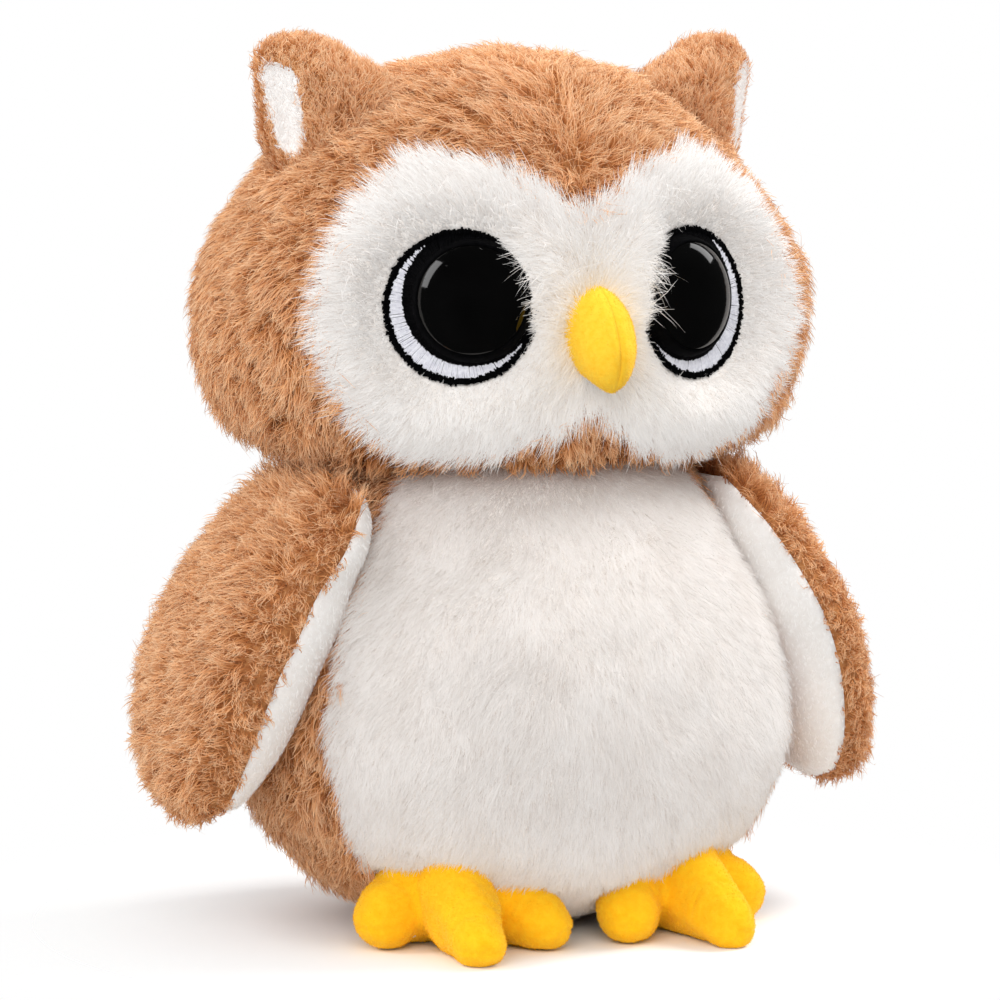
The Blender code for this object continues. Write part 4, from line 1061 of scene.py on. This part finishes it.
def eye(s, n):
    shift = np.array([s * DOME_SHIFT[0], DOME_SHIFT[1]])
    disc = polar_object("disc", s, [(0.0001, PATCH_T - 0.0002), (0.012, PATCH_T - 0.0002), (0.0228, PATCH_T - 0.0002), (0.0233, PATCH_T - 0.0005), (0.0234, 0.0002), (0.0228, -0.0004), (0.0001, -0.0006)])
    finish(sheet_object("eye_patch_cloth_" + n, disc, thick=0), THREAD_BLACK, "owl", "embroidery", "eye_patch_" + n)
    moon = np.array([s * -0.0030, 0.0029])
    moon_r, outer_in, outer_out = 0.0208, 0.0216, 0.0235

    def reach(a, shift, radius):
        """How far from the patch's centre, at an angle, a circle about another centre reaches."""
        d = np.array([math.cos(a), math.sin(a)])
        b = d @ shift
        return b + math.sqrt(max(radius**2 - (shift @ shift - b * b), 0))

    def white(a):
        low = reach(a, moon, moon_r) - 0.0001
        return (low, outer_in + 0.0002) if outer_in - low > 0.0002 else None

    def black_out(a):
        return (outer_in, outer_out + 0.0001)

    def black_in(a):
        return (min(reach(a, shift, DOME_R - 0.0007), 0.0214), min(reach(a, moon, moon_r), 0.0220))

    top = PATCH_T - 0.00015
    ob = stitches("eye_stitch_white_" + n, s, white, top, 0.00028, 300, 0.00047, 81 + s)
    finish(ob, THREAD_WHITE, "owl", "embroidery")
    ob = stitches("eye_stitch_ring_" + n, s, black_out, top + 0.00010, 0.00042, 270, 0.00068, 84 + s, 0.00026)
    finish(ob, THREAD_BLACK, "owl", "embroidery")
    ob = stitches("eye_stitch_inner_" + n, s, black_in, top + 0.00005, 0.00026, 300, 0.00056, 87 + s, 0.00016, rise=0.0036)
    finish(ob, THREAD_BLACK, "owl", "embroidery")
    collar = polar_object("collar", s, [(0.0160, 0.0012), (0.0163, 0.0050), (0.0168, 0.0056), (0.0175, 0.0051), (0.0184, 0.0034), (0.0191, 0.0015), (0.0190, 0.0008),
                                        (0.0176, 0.0008), (0.0160, 0.0008), (0.0160, 0.0012)], shift=DOME_SHIFT)
    finish(sheet_object("eye_collar_" + n, collar, thick=0), THREAD_BLACK, "owl", "embroidery")
    prof = [(0.00005, DOME_Z + 0.0006 + DOME_H)]
    for k in range(1, 33):
        b = PI / 2 * k / 32
        prof.append((DOME_R * math.sin(b), DOME_Z + 0.0006 + DOME_H * math.cos(b)))
    prof += [(DOME_R, DOME_Z + 0.0001), (DOME_R - 0.0002, DOME_Z - 0.0002), (0.010, DOME_Z - 0.0002), (0.00005, DOME_Z - 0.0002)]
    dome = polar_object("dome", s, prof, shift=DOME_SHIFT, segs=128)
    finish(sheet_object("eye_ball_" + n, dome, thick=0), EYE, "owl", "eye_plastic", "eye_dome_" + n)


for s, n in SIDES:
    eye(s, n)


# ---------------------------------------------------------------- beak
def beak():
    t = dense([(0.1712, -0.0866, 0.0002, 0.0002)] + BEAK + [(0.2046, -0.0727, 0.0004, 0.0030)], 90)
    steps = 120
    a = 2 * PI * (np.arange(steps) + 0.5)[None] / steps
    z, cy, rx, ry = (t[:, k:k + 1] for k in range(4))
    rx, ry = np.maximum(rx, 1e-4), np.maximum(ry, 1e-4)
    turn = np.abs((a + PI / 2 + PI) % (2 * PI) - PI)
    seam = np.exp(-((turn / 0.10) ** 2))
    lips = np.exp(-(((turn - 0.22) / 0.14) ** 2))
    pucker = np.cos(z * 2 * PI / 0.0031) * 0.12
    dent = 1 - seam * (0.045 + 0.012 * pucker) + lips * (0.012 + 0.010 * pucker)
    x = rx * np.cos(a) * dent * 0.94
    y = cy + ry * np.sin(a) * dent - np.interp(z, [0.1712, 0.1900, 0.2046], [0.0032, 0.0, -0.0016])
    form = Grid(np.stack([x, y + Y0, np.broadcast_to(z + np.interp(z, [0.1712, 0.185], [0.0010, 0.0]), x.shape)], -1))
    for s, n in SIDES:
        finish(sheet_object("beak_side_" + n, form, lambda p, m, s=s: (s * p[..., 0] > 0) & ~inside_form(p, HEAD, -0.002), thick=0.0008),
               BEAK_VELOUR, "owl", "yellow_velour", "beak_panel_" + n, pad=0.9)
    fuzz = Hairs(40)
    r = fuzz.rng

    def weight(p, m):
        return np.where(inside_form(p, HEAD, 0.001), 0.0, 1.0)

    count = int(form.area(weight) * 1e6 * 4.0 / 3)
    p, m, _, _ = form.sample(count, r, weight)
    flow = unit(r.normal(size=p.shape) * 0.6 + np.array([0, 0, -1.0]))
    fuzz.grow(p, m, flow, np.full(len(p), 0.00046), np.full(len(p), 0.0004), per=3, radius=0.0004, gather=0.1, width=0.00012, curl=0.00012,
              wander=0.9, rogue=0.1, root=0.00015)
    fuzz.objects("beak_pile", BEAK_HAIR, "owl", "yellow_velour", airy=1.0)


beak()


# ---------------------------------------------------------------- feet
def capsule(tip, heel, rt, rh, steps=40):
    """Points of the hull of two balls, as a grid round the line from heel to tip."""
    axis = tip - heel
    length = np.linalg.norm(axis)
    axis = axis / length
    u = unit(np.cross(axis, [0, 0, 1.0]))
    v = np.cross(u, axis)
    tilt = math.asin(max(-1, min(1, (rh - rt) / length)))
    prof = []
    for k in range(14):
        b = -PI / 2 + (PI / 2 + tilt) * k / 13
        prof.append((rh * math.cos(b), rh * math.sin(b)))
    for k in range(14):
        b = tilt + (PI / 2 - tilt) * k / 13
        prof.append((rt * math.cos(b), length + rt * math.sin(b)))
    prof = np.array(prof)
    a = 2 * PI * np.arange(steps)[None] / steps
    rr, zz = np.maximum(prof[:, :1], 1e-6), prof[:, 1:]
    return heel + (rr * np.cos(a))[..., None] * u + (rr * np.sin(a))[..., None] * v + np.broadcast_to(zz, (len(prof), steps))[..., None] * axis


def foot(s, n):
    """Radial sheets can't hold three toes, so the foot's skin is drawn in from a fine shell until it meets the field."""
    verts, loops, count = [], [], 0
    for a, b, tr, across, upright in toes(s):
        g = capsule(a, b, tr, across)
        t = np.clip(((g - a) @ (b - a)) / ((b - a) @ (b - a)), 0, 1)
        middle = a[2] + (b[2] - a[2]) * t
        g[..., 2] = middle + (g[..., 2] - middle) * (tr + (upright - tr) * t) / (tr + (across - tr) * t)
        rows, cols = g.shape[:2]
        index = np.arange(rows * cols).reshape(rows, cols)
        index = np.concatenate([index, index[:, :1]], 1)
        q = np.stack([index[:-1, :-1], index[:-1, 1:], index[1:, 1:], index[1:, :-1]], -1).reshape(-1, 4) + count
        verts.append(g.reshape(-1, 3))
        loops.append(q.ravel())
        count += rows * cols
    loops = np.concatenate(loops)
    ob = mesh_object("foot_" + n, np.concatenate(verts), loops, np.arange(len(loops) // 4) * 4)
    ob.modifiers.new("weld", "WELD").merge_threshold = 0.00001
    whole = ob.modifiers.new("whole", "REMESH")
    whole.mode = "VOXEL"
    whole.voxel_size = 0.0008
    calm = ob.modifiers.new("calm", "SMOOTH")
    calm.factor, calm.iterations = 0.5, 4
    mesh = bpy.data.meshes.new_from_object(ob.evaluated_get(bpy.context.evaluated_depsgraph_get()))
    ob.modifiers.clear()
    ob.data = mesh
    p = np.empty(len(mesh.vertices) * 3)
    mesh.vertices.foreach_get("co", p)
    p = p.reshape(-1, 3)
    for _ in range(6):
        d = toe_field(p, s)
        g = np.stack([(toe_field(p + e, s) - toe_field(p - e, s)) / 2e-4 for e in np.eye(3) * 1e-4], -1)
        p = p - unit(g) * np.clip(d, -0.002, 0.002)[:, None] * 0.8
    wrinkle = np.zeros(len(p))
    for a, b, tr, across, upright in toes(s):
        axis = unit(a - b)
        side = np.cross(axis, [0, 0, 1.0])
        q = p - a
        t = -(q @ axis) / np.linalg.norm(b - a)
        near = np.exp(-((np.linalg.norm(q - axis * tr, axis=-1) / 0.0036) ** 2))
        wrinkle += near * (0.0005 + 0.00028 * np.cos(np.arctan2(q[:, 2], q @ side) * 5))
        edge = np.exp(-(((q[:, 2] + 0.22 * tr) / 0.0006) ** 2)) * smooth(q @ axis, -0.2 * tr, 0.7 * tr)
        wrinkle += 0.00030 * edge * (np.linalg.norm(q, axis=-1) < tr * 1.3)
        own = np.abs(q @ side) < tr + 0.001
        wrinkle += 0.00030 * np.exp(-(((t - 0.30 - 0.05 * np.sin((q @ side) * 400)) / 0.035) ** 2)) * smooth(q[:, 2], -0.2 * tr, 0.5 * tr) * own
    p = p - unit(g) * wrinkle[:, None]
    soft = waves(p, 0.016, 91) * 0.00030 + waves(p, 0.006, 92) * 0.00008
    p = p + unit(g) * soft[:, None]
    p[:, 2] = np.where(p[:, 2] < 0.0012, 0.0002 + 0.8 * np.maximum(p[:, 2], 0), p[:, 2])
    mesh.vertices.foreach_set("co", p.astype(np.float32).ravel())
    mesh.update()
    mesh.shade_smooth()
    finish(ob, VELOUR, "owl", "yellow_velour", "foot_upper_" + n, "foot_sole_" + n, pad=0.9)
    faces = len(mesh.polygons)
    centre, normal, area = np.empty(faces * 3), np.empty(faces * 3), np.empty(faces)
    mesh.polygons.foreach_get("center", centre)
    mesh.polygons.foreach_get("normal", normal)
    mesh.polygons.foreach_get("area", area)
    centre, normal = centre.reshape(-1, 3), normal.reshape(-1, 3)
    out = (~inside_form(centre, BODY, 0.002)) & (centre[:, 2] > 0.001)
    fuzz = Hairs(50 + s)
    r = fuzz.rng
    area = np.where(out, area, 0)
    count = int(area.sum() * 1e6 * 4.0 / 3)
    at = np.searchsorted(np.cumsum(area) / area.sum(), (np.arange(count) + r.uniform(0, 1, count)) / count)
    at = np.clip(at, 0, faces - 1)
    jitter = r.uniform(-0.0005, 0.0005, (count, 3))
    jitter -= normal[at] * (jitter * normal[at]).sum(-1, keepdims=True)
    flow = unit(r.normal(size=(count, 3)) + np.array([0, -0.3, 0]))
    fuzz.grow(centre[at] + jitter, normal[at], flow, np.full(count, 0.00046), np.full(count, 0.0004), per=3, radius=0.0004, gather=0.1,
              width=0.00012, curl=0.00012, wander=0.9, rogue=0.1, root=0.00015)
    fuzz.objects("foot_pile_" + n, YELLOW_HAIR, "owl", "yellow_velour", most=20000, airy=1.0)


for s, n in SIDES:
    foot(s, n)


# ---------------------------------------------------------------- CAD nodes that stay
for name, ob in frame["nodes"].items():
    for key, material in (("filling", FILLING), ("pellet_bag", PELLETS), ("base_panel", BASE_CLOTH), ("washer", WASHER)):
        if key in name:
            if not ob.data.materials:
                ob.data.materials.append(material)
            for slot in ob.material_slots:
                slot.material = material

# ---------------------------------------------------------------- floor, light, camera
def floor():
    bpy.ops.mesh.primitive_plane_add(size=6, location=(0, 0, 0))
    ob = bpy.context.object
    ob.name = "floor"
    m, nt, p = new_material("pale floor", 0.9, specular=0.1)
    p.inputs["Base Color"].default_value = (0.97, 0.97, 0.97, 1)
    at = node(nt, "ShaderNodeTexCoord")
    length = node(nt, "ShaderNodeVectorMath", operation="LENGTH")
    nt.links.new(at.outputs["Object"], length.inputs[0])
    fade = node(nt, "ShaderNodeMapRange", interpolation_type="SMOOTHSTEP")
    fade.inputs["From Min"].default_value = 0.06
    fade.inputs["From Max"].default_value = 0.20
    nt.links.new(length.outputs["Value"], fade.inputs["Value"])
    clear = nt.nodes.new("ShaderNodeBsdfTransparent")
    mix = nt.nodes.new("ShaderNodeMixShader")
    out = nt.nodes["Material Output"]
    nt.links.new(fade.outputs["Result"], mix.inputs[0])
    nt.links.new(p.outputs[0], mix.inputs[1])
    nt.links.new(clear.outputs[0], mix.inputs[2])
    nt.links.new(mix.outputs[0], out.inputs["Surface"])
    ob.data.materials.append(m)
    ob.visible_glossy = False


floor()

world = bpy.data.worlds.new("studio")
bpy.context.scene.world = world
world.use_nodes = True
nt = world.node_tree
nt.nodes.clear()
path = nt.nodes.new("ShaderNodeLightPath")
seen = node(nt, "ShaderNodeBackground", Color=(1, 1, 1, 1), Strength=1.0)
fill = node(nt, "ShaderNodeBackground", Color=(1, 1, 1, 1), Strength=0.62)
dark = node(nt, "ShaderNodeBackground", Color=(1, 1, 1, 1), Strength=0.02)
first, second = nt.nodes.new("ShaderNodeMixShader"), nt.nodes.new("ShaderNodeMixShader")
out = nt.nodes.new("ShaderNodeOutputWorld")
nt.links.new(path.outputs["Is Glossy Ray"], first.inputs[0])
nt.links.new(fill.outputs[0], first.inputs[1])
nt.links.new(dark.outputs[0], first.inputs[2])
nt.links.new(path.outputs["Is Camera Ray"], second.inputs[0])
nt.links.new(first.outputs[0], second.inputs[1])
nt.links.new(seen.outputs[0], second.inputs[2])
nt.links.new(second.outputs[0], out.inputs["Surface"])

TARGET = Vector((0, Y0, 0.132))


def direction(azimuth, elevation):
    a, e = math.radians(azimuth), math.radians(elevation)
    return Vector((math.sin(a) * math.cos(e), -math.cos(a) * math.cos(e), math.sin(e)))


def softbox(name, azimuth, elevation, distance, width, height, power, glossy=1.0):
    data = bpy.data.lights.new(name, "AREA")
    data.shape = "RECTANGLE"
    data.size, data.size_y = width, height
    data.energy = power
    data.specular_factor = glossy
    ob = bpy.data.objects.new(name, data)
    bpy.context.scene.collection.objects.link(ob)
    d = direction(azimuth, elevation)
    ob.location = TARGET + d * distance
    ob.rotation_euler = d.to_track_quat("Z", "Y").to_euler()
    return ob


softbox("softbox_left", -99, 34, 1.3, 0.62, 0.72, 6.7, 1.0)
side = softbox("softbox_right", 88, 48, 1.3, 0.60, 0.60, 12.6, 0.0)
side.visible_glossy = False
softbox("softbox_shine", 97, 36, 1.3, 0.34, 0.60, 2.2, 1.0)
front = softbox("front_fill", -30, 30, 1.8, 1.4, 1.2, 14, 0.0)
front.visible_glossy = False

camera = bpy.data.objects.new("camera", bpy.data.cameras.new("camera"))
bpy.context.scene.collection.objects.link(camera)
camera.data.lens = 163.125
camera.data.sensor_width = 36
camera.data.clip_start = 0.01
toward = direction(-22, 5.5)
right = Vector((math.cos(math.radians(22)), -math.sin(math.radians(22)), 0))
up = toward.cross(right)
camera.matrix_world = Matrix.Translation(TARGET + toward * 1.45) @ Matrix((right, up, toward)).transposed().to_4x4()
bpy.context.scene.camera = camera
bpy.context.scene.view_settings.view_transform = "Standard"
bpy.context.scene.view_settings.look = "None"
